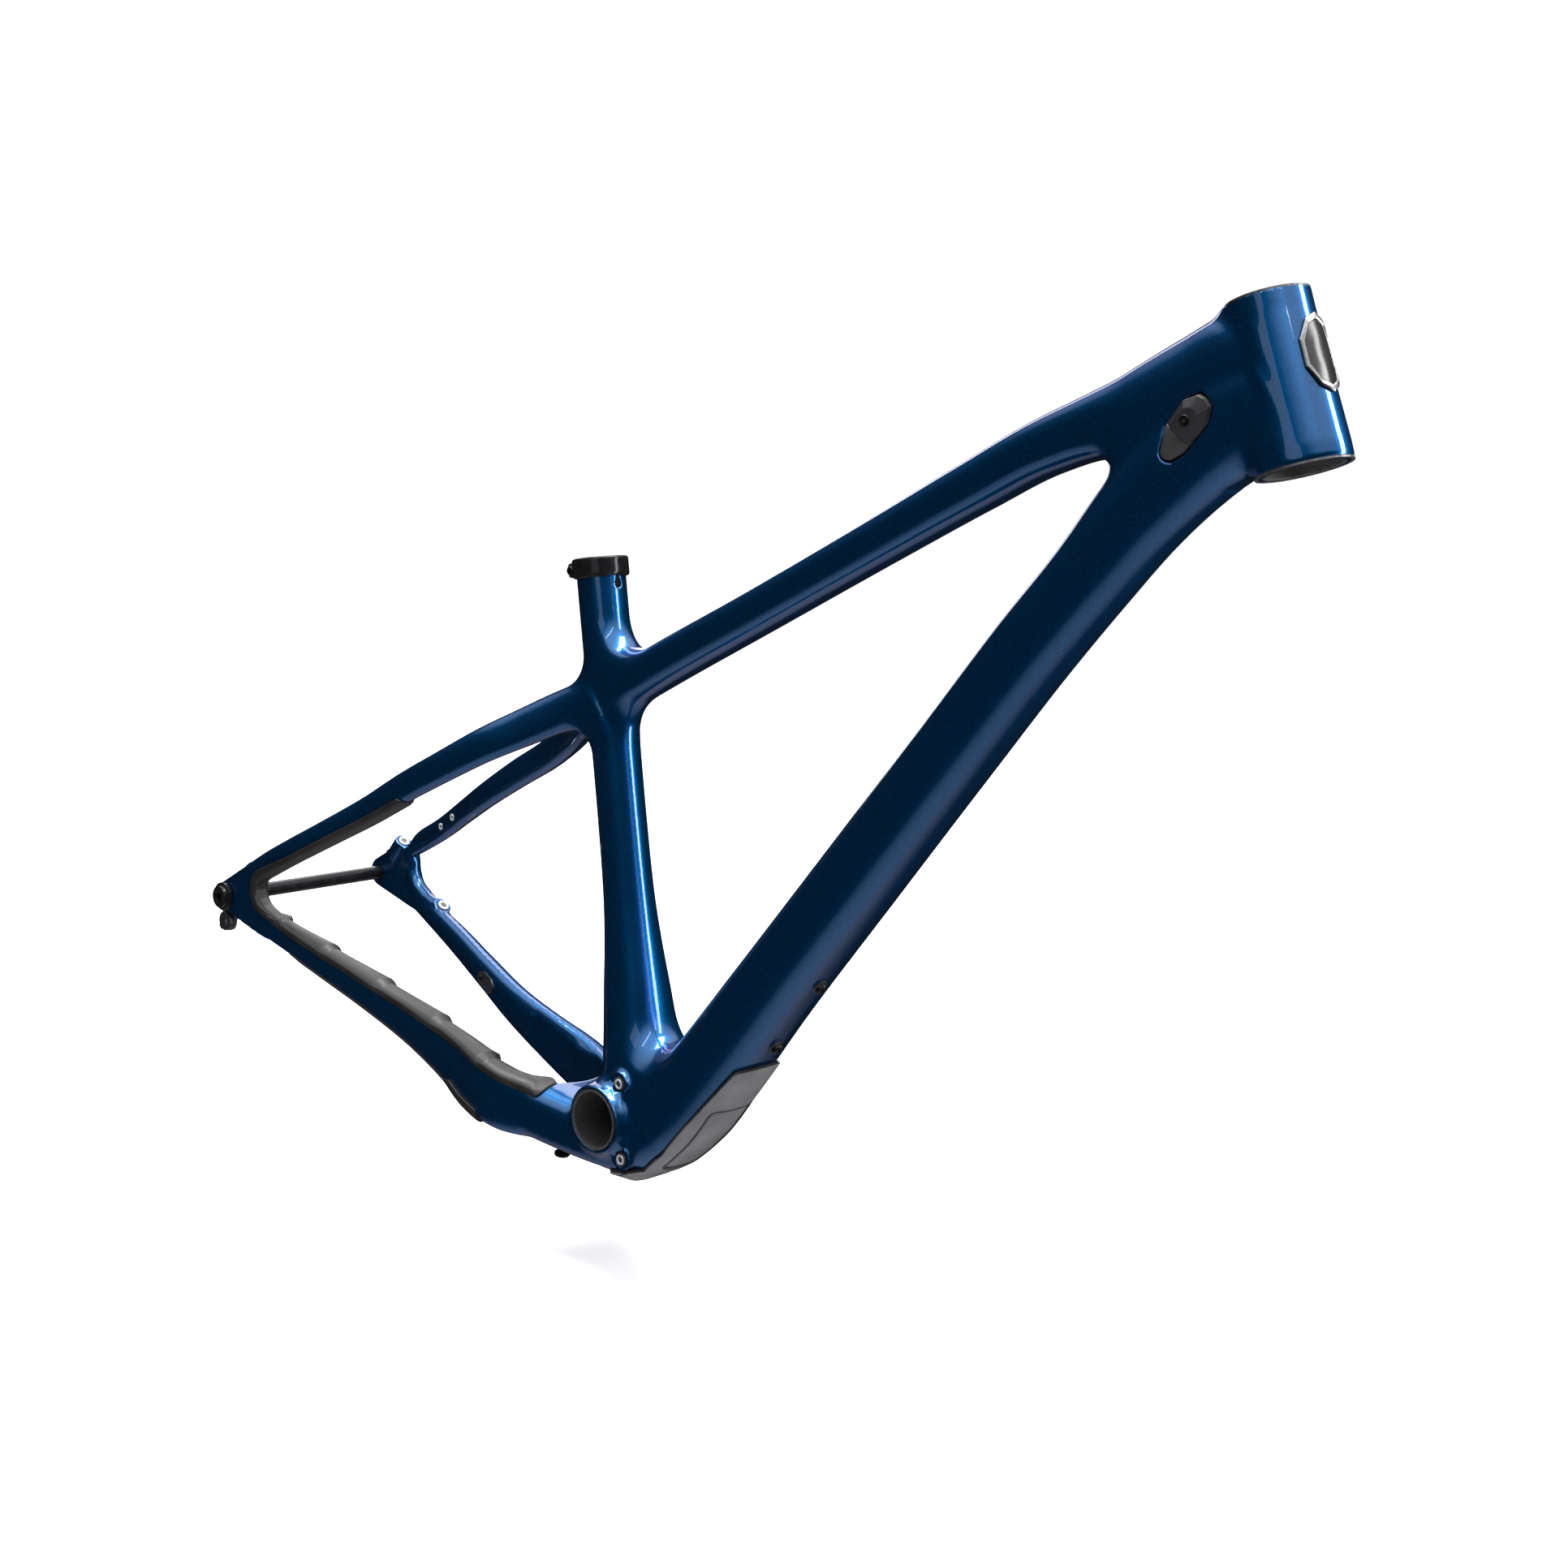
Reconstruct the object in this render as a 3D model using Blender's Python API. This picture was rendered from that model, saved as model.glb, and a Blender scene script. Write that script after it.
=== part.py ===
"""Moulded hardtail mountain-bike frame with its fitted hardware.

Axes: +X forwards, +Y to the rider's left, +Z up; the origin is the bottom-bracket centre.
Units: metres. The station tables are in millimetres and are scaled once, by MM.
Every carbon section is a loft of rounded sections, hollow where the real one is.
"""
import math
from collections import namedtuple

import bmesh
import bpy
import numpy as np
from mathutils import Matrix, Vector

MM = 0.001
GAP = 0.0003                      # clearance kept between touching pieces

# Frame geometry
REAR_AXLE = Vector((-0.4288, 0, 0.060))
HEAD_ANGLE = math.radians(67)
HEAD_TOP = Vector((0.4363, 0, 0.6313))
HEAD_LENGTH = 0.100
HEAD_TOP_RADIUS = 0.0243
HEAD_BOTTOM_RADIUS = 0.0280
SEAT_ANGLE = math.radians(75.46)
SEAT_TOP = Vector((-0.0929, 0, 0.3986))
SEAT_TUBE_RADIUS = 0.0182
SEATPOST_RADIUS = 0.0158
SHELL_HALF_WIDTH = 0.04575
SLEEVE_BORE_RADIUS = 0.0205
SLEEVE_RADIUS = 0.0225
HUB_HALF_WIDTH = 0.074
DROPOUT_THICKNESS = 0.010
AXLE_RADIUS = 0.006

Station = namedtuple("Station", "x y z h w")


def stations(rows):
    """Centre point, half height and half width of each section, from millimetres to metres."""
    return [Station(*(value * MM for value in row)) for row in rows]


TOP_TUBE = stations([
    (-64, 0, 301.5, 17, 16.5), (-30, 0, 324, 16.5, 19), (79, 0, 392, 15.3, 19.5),
    (182, 0, 457, 15.4, 19.5), (250, 0, 500, 16.2, 20), (300, 0, 530.5, 17.4, 20.5),
    (338, 0, 548, 20.5, 21.5), (371, 0, 558, 29, 22.5), (408, 0, 577, 33, 23.5),
    (443, 0, 597, 34, 23.5)])
DOWN_TUBE = stations([
    (0, 0, -28, 18, 38), (20, 0, -14, 27, 38), (45, 0, 14, 31, 36), (75, 0, 56, 29.3, 33),
    (120, 0, 125, 27, 30.5), (188, 0, 227, 25.4, 29), (256, 0, 329, 24.2, 28),
    (310, 0, 410, 24.5, 27), (346, 0, 460.5, 25, 26), (369, 0, 496.5, 27, 25.5),
    (400, 0, 533, 36, 25), (435, 0, 558, 34, 25), (468, 0, 577, 32, 24)])
SEAT_TUBE = stations([
    (9.2, 0, 5, 27, 39), (0.1, 0, 40, 27, 33), (-6.6, 0, 66, 25.5, 28), (-13.1, 0, 91, 24, 24.5),
    (-20.6, 0, 120, 21.4, 21.6), (-28.4, 0, 150, 19.4, 19.6), (-36.2, 0, 180, 18.5, 18.5),
    (-44, 0, 210, 18.2, 18.2), (-66, 0, 295, 18.2, 18.2), (-92.9, 0, 398.6, 18.2, 18.2)])
YOKE = stations([
    (26, 0, -22, 21, 36), (-10, 0, -22, 22.5, 41), (-45, 0, -21, 23.5, 45.5),
    (-80, 0, -18.5, 24, 52), (-120, 0, -14.5, 23, 62)])
CHAINSTAY = stations([
    (-100, 52, -17.5, 23.4, 10.5), (-125, 50.2, -12, 22.8, 9.8), (-150, 47.6, -5, 20.6, 9.2),
    (-200, 49.6, 8, 16.2, 9), (-250, 57.8, 21, 13.4, 9), (-300, 66.5, 33, 12, 8.2),
    (-345, 72.5, 43, 10.5, 7), (-372, 77, 49, 10.6, 5.8), (-400, 79, 54.5, 10, 5)])
SEATSTAY = stations([
    (-78, 6, 297, 15.5, 9), (-100, 13, 284, 15.5, 11), (-125, 27, 268, 14.6, 10.5),
    (-155, 44, 248, 13.4, 9.5), (-190, 54, 224, 12.4, 8.5), (-230, 57.3, 198.5, 11.8, 8),
    (-270, 60.5, 171.3, 10.7, 8), (-310, 69, 144.5, 9.9, 7.8), (-350, 77.5, 118, 9.3, 6.6),
    (-372, 79, 104, 9.4, 5.6), (-400, 79, 85.5, 8, 5)])

TUBE_WALL = 0.0018
YOKE_WALL = 0.0028
STAY_WALL = 0.0016
MAIN_POWER = 2.6                  # rounded-rectangle tubes
STAY_POWER = 2.4
YOKE_POWER = 4.0
YOKE_END = -0.112
TYRE_GAP_RADIUS = 0.040
TYRE_GAP_CENTRE = -0.098

# Straight joint lines between bonded sections, as a point and a direction in the XZ plane
HEAD_JOINT = (Vector((0.345, 0, 0.527)), Vector((0.085, 0, 0.063)))
SHELL_JOINT_UP = (Vector((0.018, 0, 0.014)), Vector((0.029, 0, 0.058)))
SHELL_JOINT_DOWN = (Vector((0, 0, 0)), Vector((0.259, 0, -0.966)))
STAY_JOINT = (Vector((YOKE_END, 0, 0)), Vector((0, 0, 1)))

CARBON_BLUE = (0.010, 0.045, 0.130)
BLACK = (0.020, 0.020, 0.022)
RUBBER_GREY = (0.070, 0.068, 0.066)
SILVER = (0.62, 0.62, 0.60)
BARE_GREY = (0.16, 0.16, 0.16)


# ---------------------------------------------------------------- basic tools

def clear_scene():
    for old in list(bpy.data.objects):
        bpy.data.objects.remove(old, do_unlink=True)


def make_material(name, colour, roughness, metallic):
    material = bpy.data.materials.new(name)
    material.use_nodes = True
    shader = material.node_tree.nodes["Principled BSDF"]
    shader.inputs["Base Color"].default_value = (*colour, 1)
    shader.inputs["Roughness"].default_value = roughness
    shader.inputs["Metallic"].default_value = metallic
    return material


def add_object(name, bm, material=None):
    """Closes a bmesh into a named object with its faces pointing out."""
    bmesh.ops.recalc_face_normals(bm, faces=bm.faces)
    mesh = bpy.data.meshes.new(name)
    bm.to_mesh(mesh)
    bm.free()
    obj = bpy.data.objects.new(name, mesh)
    bpy.context.scene.collection.objects.link(obj)
    if material:
        mesh.materials.append(material)
    mesh.shade_smooth()
    mesh.set_sharp_from_angle(angle=math.radians(35))
    return obj


def boolean(target, tool, operation):
    """Applies one exact boolean to target and removes the tool."""
    modifier = target.modifiers.new(operation.title(), "BOOLEAN")
    modifier.operation = operation
    modifier.solver = "EXACT"
    modifier.object = tool
    graph = bpy.context.evaluated_depsgraph_get()
    mesh = bpy.data.meshes.new_from_object(target.evaluated_get(graph))
    target.modifiers.remove(modifier)
    target.data = mesh
    bpy.data.objects.remove(tool, do_unlink=True)


def cut(target, *tools):
    for tool in tools:
        boolean(target, tool, "DIFFERENCE")


def join(target, *tools):
    for tool in tools:
        boolean(target, tool, "UNION")


def tilted_frame(origin, angle):
    """Local Z runs up a tube leaning back at angle, local X points forwards across it."""
    up = Vector((-math.cos(angle), 0, math.sin(angle)))
    forward = Vector((math.sin(angle), 0, math.cos(angle)))
    return Matrix.Translation(origin) @ Matrix((forward, (0, 1, 0), up)).transposed().to_4x4()


def facing_frame(origin, outward, sideways=None):
    """Local Z points outward, local X lies near sideways (across the frame, or forwards if that is taken)."""
    z_axis = outward.normalized()
    if sideways is None:
        sideways = Vector((1, 0, 0)) if abs(z_axis.y) > 0.9 else Vector((0, 1, 0))
    x_axis = (sideways - sideways.dot(z_axis) * z_axis).normalized()
    y_axis = z_axis.cross(x_axis)
    return Matrix.Translation(origin) @ Matrix((x_axis, y_axis, z_axis)).transposed().to_4x4()


HEAD_FRAME = tilted_frame(HEAD_TOP, HEAD_ANGLE)
SEAT_FRAME = tilted_frame(SEAT_TOP, SEAT_ANGLE)


def turned(name, frame, profile, sides, material=None):
    """Revolves a closed (radius, height) outline about the frame's Z axis."""
    bm = bmesh.new()
    columns = []
    for step in range(sides):
        angle = 2 * math.pi * (step + 0.5) / sides
        columns.append([
            bm.verts.new(frame @ Vector((r * math.cos(angle), r * math.sin(angle), z)))
            if r > 0 or step == 0 else None for r, z in profile])
    for row, (radius, _) in enumerate(profile):
        if radius == 0:
            for column in columns:
                column[row] = columns[0][row]
    for step in range(sides):
        here, there = columns[step], columns[(step + 1) % sides]
        for row in range(len(profile)):
            following = (row + 1) % len(profile)
            corners = [here[row], there[row], there[following], here[following]]
            unique = list(dict.fromkeys(corners))
            if len(unique) > 2:
                bm.faces.new(unique)
    return add_object(name, bm, material)


def prism(name, frame, outline, low, high, material=None):
    """Extrudes a closed outline in the frame's XY plane from low to high along its Z."""
    bm = bmesh.new()
    floor = [bm.verts.new(frame @ Vector((x, y, low))) for x, y in outline]
    roof = [bm.verts.new(frame @ Vector((x, y, high))) for x, y in outline]
    bm.faces.new(floor[::-1])
    bm.faces.new(roof)
    for index in range(len(outline)):
        following = (index + 1) % len(outline)
        bm.faces.new((floor[index], floor[following], roof[following], roof[index]))
    return add_object(name, bm, material)


def polygon(sides, radius, turn=0.0):
    return [(radius * math.cos(turn + 2 * math.pi * i / sides),
             radius * math.sin(turn + 2 * math.pi * i / sides)) for i in range(sides)]


def rectangle(x_low, x_high, y_low, y_high):
    return [(x_low, y_low), (x_high, y_low), (x_high, y_high), (x_low, y_high)]


def arc(centre, radius, start, end, steps):
    """Points along an arc, with angles in degrees."""
    angles = np.radians(np.linspace(start, end, steps))
    return [(centre[0] + radius * math.cos(a), centre[1] + radius * math.sin(a)) for a in angles]


def offset_outline(outline, distance):
    """Moves each side of a counter-clockwise outline outwards by distance."""
    moved = []
    count = len(outline)
    for index in range(count):
        before = Vector(outline[index - 1])
        here = Vector(outline[index])
        after = Vector(outline[(index + 1) % count])
        first = (here - before).normalized()
        second = (after - here).normalized()
        out_first = Vector((first.y, -first.x))
        out_second = Vector((second.y, -second.x))
        miter = (out_first + out_second).normalized()
        moved.append(tuple(here + miter * distance / max(0.3, miter.dot(out_first))))
    return moved


def rod(name, start, direction, radius, length, sides=20, material=None):
    """A plain round bar, used as a piece or as a drill."""
    frame = facing_frame(start, direction)
    profile = [(0, 0), (radius, 0), (radius, length), (0, length)]
    return turned(name, frame, profile, sides, material)


def half_space(line, keep_left, clearance=GAP / 2):
    """A block that removes one side of a line in the XZ plane."""
    point, direction = line
    along = direction.normalized()
    left = Vector((-along.z, 0, along.x))
    outward = -left if keep_left else left
    frame = facing_frame(point - outward * clearance, outward)
    return prism("side_block", frame, rectangle(-0.3, 0.3, -0.3, 0.3), 0, 0.3)


# ---------------------------------------------------------------- lofts

def smooth_stations(rows, count):
    """Catmull-Rom samples through the stations, evenly spread along the chord."""
    table = np.array(rows)
    chord = np.concatenate([[0], np.cumsum(np.linalg.norm(np.diff(table[:, :3], axis=0), axis=1))])
    slopes = np.gradient(table, chord, axis=0)
    samples = []
    for place in np.linspace(0, chord[-1], count):
        index = min(int(np.searchsorted(chord, place, side="right")) - 1, len(rows) - 2)
        span = chord[index + 1] - chord[index]
        t = (place - chord[index]) / span
        value = ((2 * t**3 - 3 * t**2 + 1) * table[index] + (t**3 - 2 * t**2 + t) * span * slopes[index]
                 + (3 * t**2 - 2 * t**3) * table[index + 1] + (t**3 - t**2) * span * slopes[index + 1])
        samples.append(Station(*value))
    return samples


def mirrored(rows):
    return [row._replace(y=-row.y) for row in rows]


def section_axes(samples):
    """Centre, tangent, lateral and normal of each section; the normal is lateral x tangent."""
    centres = [Vector(sample[:3]) for sample in samples]
    frames = []
    for index, centre in enumerate(centres):
        tangent = (centres[min(index + 1, len(centres) - 1)] - centres[max(index - 1, 0)]).normalized()
        lateral = (Vector((0, 1, 0)) - tangent.y * tangent).normalized()
        frames.append((centre, tangent, lateral, lateral.cross(tangent)))
    return frames


def loft(name, samples, sides, power, grow=0.0, extend=0.0, material=None):
    """Skins rounded sections along the samples, closed by a flat cap at each end."""
    bm = bmesh.new()
    rings = []
    last = len(samples) - 1
    for index, (centre, tangent, lateral, normal) in enumerate(section_axes(samples)):
        shift = -extend if index == 0 else extend if index == last else 0
        half_w = samples[index].w + grow
        half_h = samples[index].h + grow
        ring = []
        for step in range(sides):
            angle = 2 * math.pi * (step + 0.5) / sides
            c, s = math.cos(angle), math.sin(angle)
            across = half_w * math.copysign(abs(c) ** (2 / power), c)
            rise = half_h * math.copysign(abs(s) ** (2 / power), s)
            ring.append(bm.verts.new(centre + tangent * shift + lateral * across + normal * rise))
        rings.append(ring)
    for first, second in zip(rings, rings[1:]):
        for step in range(sides):
            following = (step + 1) % sides
            bm.faces.new((first[step], first[following], second[following], second[step]))
    bm.faces.new(rings[0][::-1])
    bm.faces.new(rings[-1])
    return add_object(name, bm, material)


def frame_at(rows, x):
    """Section axes and sizes of a stay where its centreline passes x."""
    samples = smooth_stations(rows, 200)
    index = min(range(1, len(samples) - 1), key=lambda i: abs(samples[i].x - x))
    return section_axes(samples)[index], samples[index]


def surface_at(rows, x, turn):
    """Surface point and outward direction where a tube's centreline passes x, between its sections."""
    samples = smooth_stations(rows, 200)
    axes = section_axes(samples)
    index = max(i for i in range(len(samples) - 1) if samples[i].x <= x)
    share = (x - samples[index].x) / (samples[index + 1].x - samples[index].x)
    centre = axes[index][0].lerp(axes[index + 1][0], share)
    outward = axes[index][3].lerp(axes[index + 1][3], share).normalized() * turn
    height = samples[index].h + share * (samples[index + 1].h - samples[index].h)
    return centre + outward * height, outward


MAIN_SIDES = 20
STAY_SIDES = 16


def solid_head_tube(grow=0.0):
    top, bottom = HEAD_TOP_RADIUS + grow, HEAD_BOTTOM_RADIUS + grow
    profile = [(0, grow), (top, grow), (top, -0.012), (bottom, -HEAD_LENGTH + 0.010),
               (bottom, -HEAD_LENGTH - grow), (0, -HEAD_LENGTH - grow)]
    return turned("head_block", HEAD_FRAME, profile, 40)


def solid_seat_tube(grow=0.0):
    return loft("seat_block", smooth_stations(SEAT_TUBE, 16), 24, 2.0, grow)


BARREL_OUTLINE = [(0.0245, 0.04575), (0.0255, 0.043), (0.027, 0.036), (0.029, 0.028), (0.031, 0.015)]
CROSSWAYS = facing_frame(Vector((0, 0, 0)), Vector((0, 1, 0)), Vector((1, 0, 0)))


def solid_barrel(grow=0.0):
    outer = [(radius + grow, y) for radius, y in BARREL_OUTLINE]
    outer += [(radius + grow, -y) for radius, y in reversed(BARREL_OUTLINE)]
    profile = [(0, SHELL_HALF_WIDTH)] + outer + [(0, -SHELL_HALF_WIDTH)]
    return turned("barrel_block", CROSSWAYS, profile, 36)


def solid_down_tube(grow=0.0, extend=0.0):
    return loft("down_block", smooth_stations(DOWN_TUBE, 22), MAIN_SIDES, MAIN_POWER, grow, extend)


def solid_yoke(grow=0.0, extend=0.0):
    return loft("yoke_block", smooth_stations(YOKE, 7), 24, YOKE_POWER, grow, extend)


def tyre_gap_block(grow=0.0):
    """The U-shaped space for the tyre behind the bottom bracket."""
    outline = arc((TYRE_GAP_CENTRE, 0), TYRE_GAP_RADIUS + grow, -90, 90, 17)
    outline += [(YOKE_END - 0.03, TYRE_GAP_RADIUS + grow), (YOKE_END - 0.03, -TYRE_GAP_RADIUS - grow)]
    return prism("tyre_block", Matrix(), outline, -0.1, 0.1)


# ---------------------------------------------------------------- carbon sections

SIDE_FRAME = Matrix(((1, 0, 0), (0, 0, 1), (0, -1, 0))).transposed().to_4x4()    # XZ outlines, depth along -Y
HEAD_FLANGE = 0.0012
LOWER_POCKET_RADIUS = 0.0271
UPPER_POCKET_RADIUS = 0.0228
SEAT_POCKET_DEPTH = 0.0123


def make_head_tube(material):
    """Tapered tube, bored through, with a pocket at each end for the headset seats."""
    top_end = -HEAD_FLANGE - GAP
    bottom_end = -HEAD_LENGTH + HEAD_FLANGE + GAP
    profile = [(HEAD_TOP_RADIUS, top_end), (HEAD_TOP_RADIUS, -0.012),
               (HEAD_BOTTOM_RADIUS, -HEAD_LENGTH + 0.010), (HEAD_BOTTOM_RADIUS, bottom_end),
               (LOWER_POCKET_RADIUS, bottom_end), (LOWER_POCKET_RADIUS, -HEAD_LENGTH + SEAT_POCKET_DEPTH + 0.0008),
               (0.0235, -0.084), (0.0205, -0.045), (0.0205, -0.016),
               (UPPER_POCKET_RADIUS, -SEAT_POCKET_DEPTH - GAP), (UPPER_POCKET_RADIUS, top_end)]
    return turned("head_tube", HEAD_FRAME, profile, 40, material)


def make_headset_seats(material):
    """Rings the headset bearings sit in; each has a flange over the end of the head tube."""
    lower = [(0.0280, -0.0988), (0.0280, -0.1), (0.0259, -0.1), (0.0259, -0.091), (0.0242, -0.0893),
             (0.0242, -0.0880), (0.0268, -0.0880), (0.0268, -0.0988)]
    upper = [(0.0209, 0), (0.0243, 0), (0.0243, -0.0012), (0.0225, -0.0012), (0.0225, -0.0120),
             (0.0192, -0.0120), (0.0192, -0.0097), (0.0209, -0.0080)]
    turned("lower_headset_seat", HEAD_FRAME, lower, 40, material)
    turned("upper_headset_seat", HEAD_FRAME, upper, 40, material)


def make_top_tube(material):
    samples = smooth_stations(TOP_TUBE, 18)
    tube = loft("top_tube", samples, MAIN_SIDES, MAIN_POWER, material=material)
    core = loft("core", samples, MAIN_SIDES, MAIN_POWER, -TUBE_WALL, extend=0.002)
    cut(tube, core, half_space(HEAD_JOINT, keep_left=True), solid_head_tube(GAP), solid_seat_tube(GAP))
    return tube


BOTTLE_BOLT_SPACING = 0.064
LOWER_BOTTLE_CENTRE_X = 0.1245
UPPER_BOTTLE_CENTRE_X = 0.205
BOLT_SHANK_RADIUS = 0.0025
BOLT_HOLE_RADIUS = 0.0029


def bottle_bolt_places():
    """Name, point on the tube surface and outward direction of the four bottle bolts.

    The tube is curved, so the step along it is adjusted until each pair is the stated distance apart.
    """
    places = []
    for side, centre_x, turn in (("lower", LOWER_BOTTLE_CENTRE_X, 1), ("upper", UPPER_BOTTLE_CENTRE_X, -1)):
        (_, tangent, _, _), _ = frame_at(DOWN_TUBE, centre_x)
        step = tangent.x * BOTTLE_BOLT_SPACING / 2
        for _ in range(8):
            pair = []
            for end, sign in (("front", 1), ("rear", -1)):
                pair.append((f"{side}_bottle_bolt_{end}", *surface_at(DOWN_TUBE, centre_x + sign * step, turn)))
            step *= BOTTLE_BOLT_SPACING / (pair[0][1] - pair[1][1]).length
        places += pair
    return places


# Chain-guide inserts: place in the XZ plane and distance of the flange from the mid-plane
GUIDE_INSERTS = {"upper_guide_insert": (0.0132, 0.0302, 0.0345), "lower_guide_insert": (0.0253, -0.0234, 0.0375)}
GUIDE_SHANK_RADIUS = 0.0036


def guide_insert_drill(name):
    x, z, depth = GUIDE_INSERTS[name]
    return rod("drill", Vector((x, -depth + 0.012, z)), Vector((0, -1, 0)), GUIDE_SHANK_RADIUS + GAP, 0.03)


PORT_CENTRE = Vector((0.4085, 0, 0.5545))
PORT_LONG_AXIS = Vector((0.56, 0, 0.83))
PORT_OUTLINE = [(0.023, -0.004), (0.022, 0.004), (0.012, 0.010), (-0.010, 0.009), (-0.022, 0.003),
                (-0.022, -0.005), (-0.012, -0.010), (0.012, -0.011)]
PORT_LENGTHWISE_SPLIT = -0.004


def port_frame(side):
    return facing_frame(PORT_CENTRE, Vector((0, side, 0)), PORT_LONG_AXIS)


def port_outline(side, grow=0.0):
    """Outline of the cable port, counter-clockwise in the port's own frame on either side."""
    outline = PORT_OUTLINE if side < 0 else [(x, -y) for x, y in reversed(PORT_OUTLINE)]
    return offset_outline(outline, grow) if grow else outline


def make_down_tube(material):
    samples = smooth_stations(DOWN_TUBE, 22)
    tube = loft("down_tube", samples, MAIN_SIDES, MAIN_POWER, material=material)
    core = loft("core", samples, MAIN_SIDES, MAIN_POWER, -TUBE_WALL, extend=0.002)
    cut(tube, core, half_space(HEAD_JOINT, keep_left=False), half_space(SHELL_JOINT_UP, keep_left=False),
        half_space(SHELL_JOINT_DOWN, keep_left=True), solid_head_tube(GAP), solid_barrel(GAP))
    for side in (-1, 1):
        cut(tube, prism("port_hole", port_frame(side), port_outline(side, GAP), 0.0185, 0.04))
    for _, surface, outward in bottle_bolt_places():
        cut(tube, rod("drill", surface - outward * 0.006, outward, BOLT_HOLE_RADIUS, 0.012, 12))
    cut(tube, guide_insert_drill("lower_guide_insert"))
    return tube


SLOT_WIDTH = 0.002
SLOT_LENGTH = 0.020
KEYHOLE_RADIUS = 0.0026


def make_seat_tube(material):
    """Round tube bored for a 31.6 mm post, flared round the bottom bracket, slotted at the front top."""
    samples = smooth_stations(SEAT_TUBE, 16)
    tube = loft("seat_tube", samples, 24, 2.0, material=material)
    core = loft("core", samples, 24, 2.0, SEATPOST_RADIUS - SEAT_TUBE_RADIUS, extend=0.002)
    cut(tube, core, half_space(SHELL_JOINT_UP, keep_left=True), solid_barrel(GAP))
    slot = prism("slot", SEAT_FRAME, rectangle(0.010, 0.022, -SLOT_WIDTH / 2, SLOT_WIDTH / 2), -SLOT_LENGTH, 0.002)
    keyhole_start = SEAT_FRAME @ Vector((0.010, 0, -SLOT_LENGTH))
    forward = SEAT_FRAME.to_3x3() @ Vector((1, 0, 0))
    cut(tube, slot, rod("keyhole", keyhole_start, forward, KEYHOLE_RADIUS, 0.012, 12),
        guide_insert_drill("upper_guide_insert"))
    return tube


def make_bottom_bracket_shell(material):
    outer = BARREL_OUTLINE + [(radius, -y) for radius, y in reversed(BARREL_OUTLINE)]
    bore = SLEEVE_RADIUS + GAP
    profile = outer + [(bore, -SHELL_HALF_WIDTH), (bore, SHELL_HALF_WIDTH)]
    return turned("bottom_bracket_shell", CROSSWAYS, profile, 36, material)


def make_bottom_bracket_sleeve(material):
    profile = [(SLEEVE_RADIUS, -SHELL_HALF_WIDTH), (SLEEVE_RADIUS, SHELL_HALF_WIDTH),
               (SLEEVE_BORE_RADIUS + 0.0006, SHELL_HALF_WIDTH), (SLEEVE_BORE_RADIUS, SHELL_HALF_WIDTH - 0.0006),
               (SLEEVE_BORE_RADIUS, -SHELL_HALF_WIDTH + 0.0006), (SLEEVE_BORE_RADIUS + 0.0006, -SHELL_HALF_WIDTH)]
    return turned("bottom_bracket_sleeve", CROSSWAYS, profile, 36, material)


DRAIN_PLUG_PLACE = Vector((-0.045, -0.031, -0.0440))
DRAIN_HOLE_RADIUS = 0.0030


def make_chainstay_yoke(material):
    """Hollow bridge behind the bottom bracket; its two arms carry on as the chainstays."""
    yoke = solid_yoke()
    yoke.name = yoke.data.name = "chainstay_yoke"
    yoke.data.materials.append(material)
    core = solid_yoke(-YOKE_WALL, extend=0.01)
    cut(core, tyre_gap_block(YOKE_WALL))
    drain = rod("drill", DRAIN_PLUG_PLACE + Vector((0, 0, 0.01)), Vector((0, 0, -1)), DRAIN_HOLE_RADIUS, 0.02, 12)
    cut(yoke, core, tyre_gap_block(), solid_barrel(GAP), half_space(SHELL_JOINT_DOWN, keep_left=False),
        half_space(STAY_JOINT, keep_left=False), drain)
    return yoke


DROPOUT_RADIUS = 0.013
INNER_CORNER = (-0.372, 0.078)
INNER_CORNER_RADIUS = 0.015


CHAINSTAY_END = [(-0.361, 0.0345), (-0.358, 0.0575)]
SEATSTAY_END = [(-0.366, 0.0960), (-0.3773, 0.1142)]


def dropout_outline():
    """Plate that joins both stays to the axle, counter-clockwise in the XZ plane."""
    axle = (REAR_AXLE.x, REAR_AXLE.z)
    corner = arc(INNER_CORNER, INNER_CORNER_RADIUS, 256, 123.5, 9)
    return CHAINSTAY_END + corner + SEATSTAY_END + arc(axle, DROPOUT_RADIUS, 128, 262, 12)


def dropout_block(side, inner, outer, grow=0.0):
    outline = offset_outline(dropout_outline(), grow) if grow else dropout_outline()
    low, high = (inner, outer) if side < 0 else (-outer, -inner)
    return prism("dropout_block", SIDE_FRAME, outline, low, high)


BRAKE_FACING = Vector((0.574, 0, 0.819))
UPPER_BRAKE_FACE = Vector((-0.3995, 0.077, 0.0959))
LOWER_BRAKE_FACE = Vector((-0.33874, 0.077, 0.05331))     # 74.2 mm along the mount, the post-mount standard
BRAKE_BOSS_RADIUS = 0.0075
BRAKE_INSERT_RADIUS = 0.0048
BRAKE_INSERT_LENGTH = 0.010
AXLE_BORE_RADIUS = AXLE_RADIUS + GAP
HANGER_DISC_RADIUS = 0.0124
HANGER_POCKET_RADIUS = 0.0142
HANGER_POCKET_DEPTH = 0.0038
HANGER_BOSS_RADIUS = 0.0085


def brake_boss(face, length, grow=0.0):
    return rod("boss", face + BRAKE_FACING * grow, -BRAKE_FACING, BRAKE_BOSS_RADIUS + grow, length + grow, 24)


def brake_insert_drill(face):
    start = face - BRAKE_FACING * (BRAKE_INSERT_LENGTH + GAP)
    return rod("drill", start, BRAKE_FACING, BRAKE_INSERT_RADIUS + GAP, 0.03)


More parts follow.
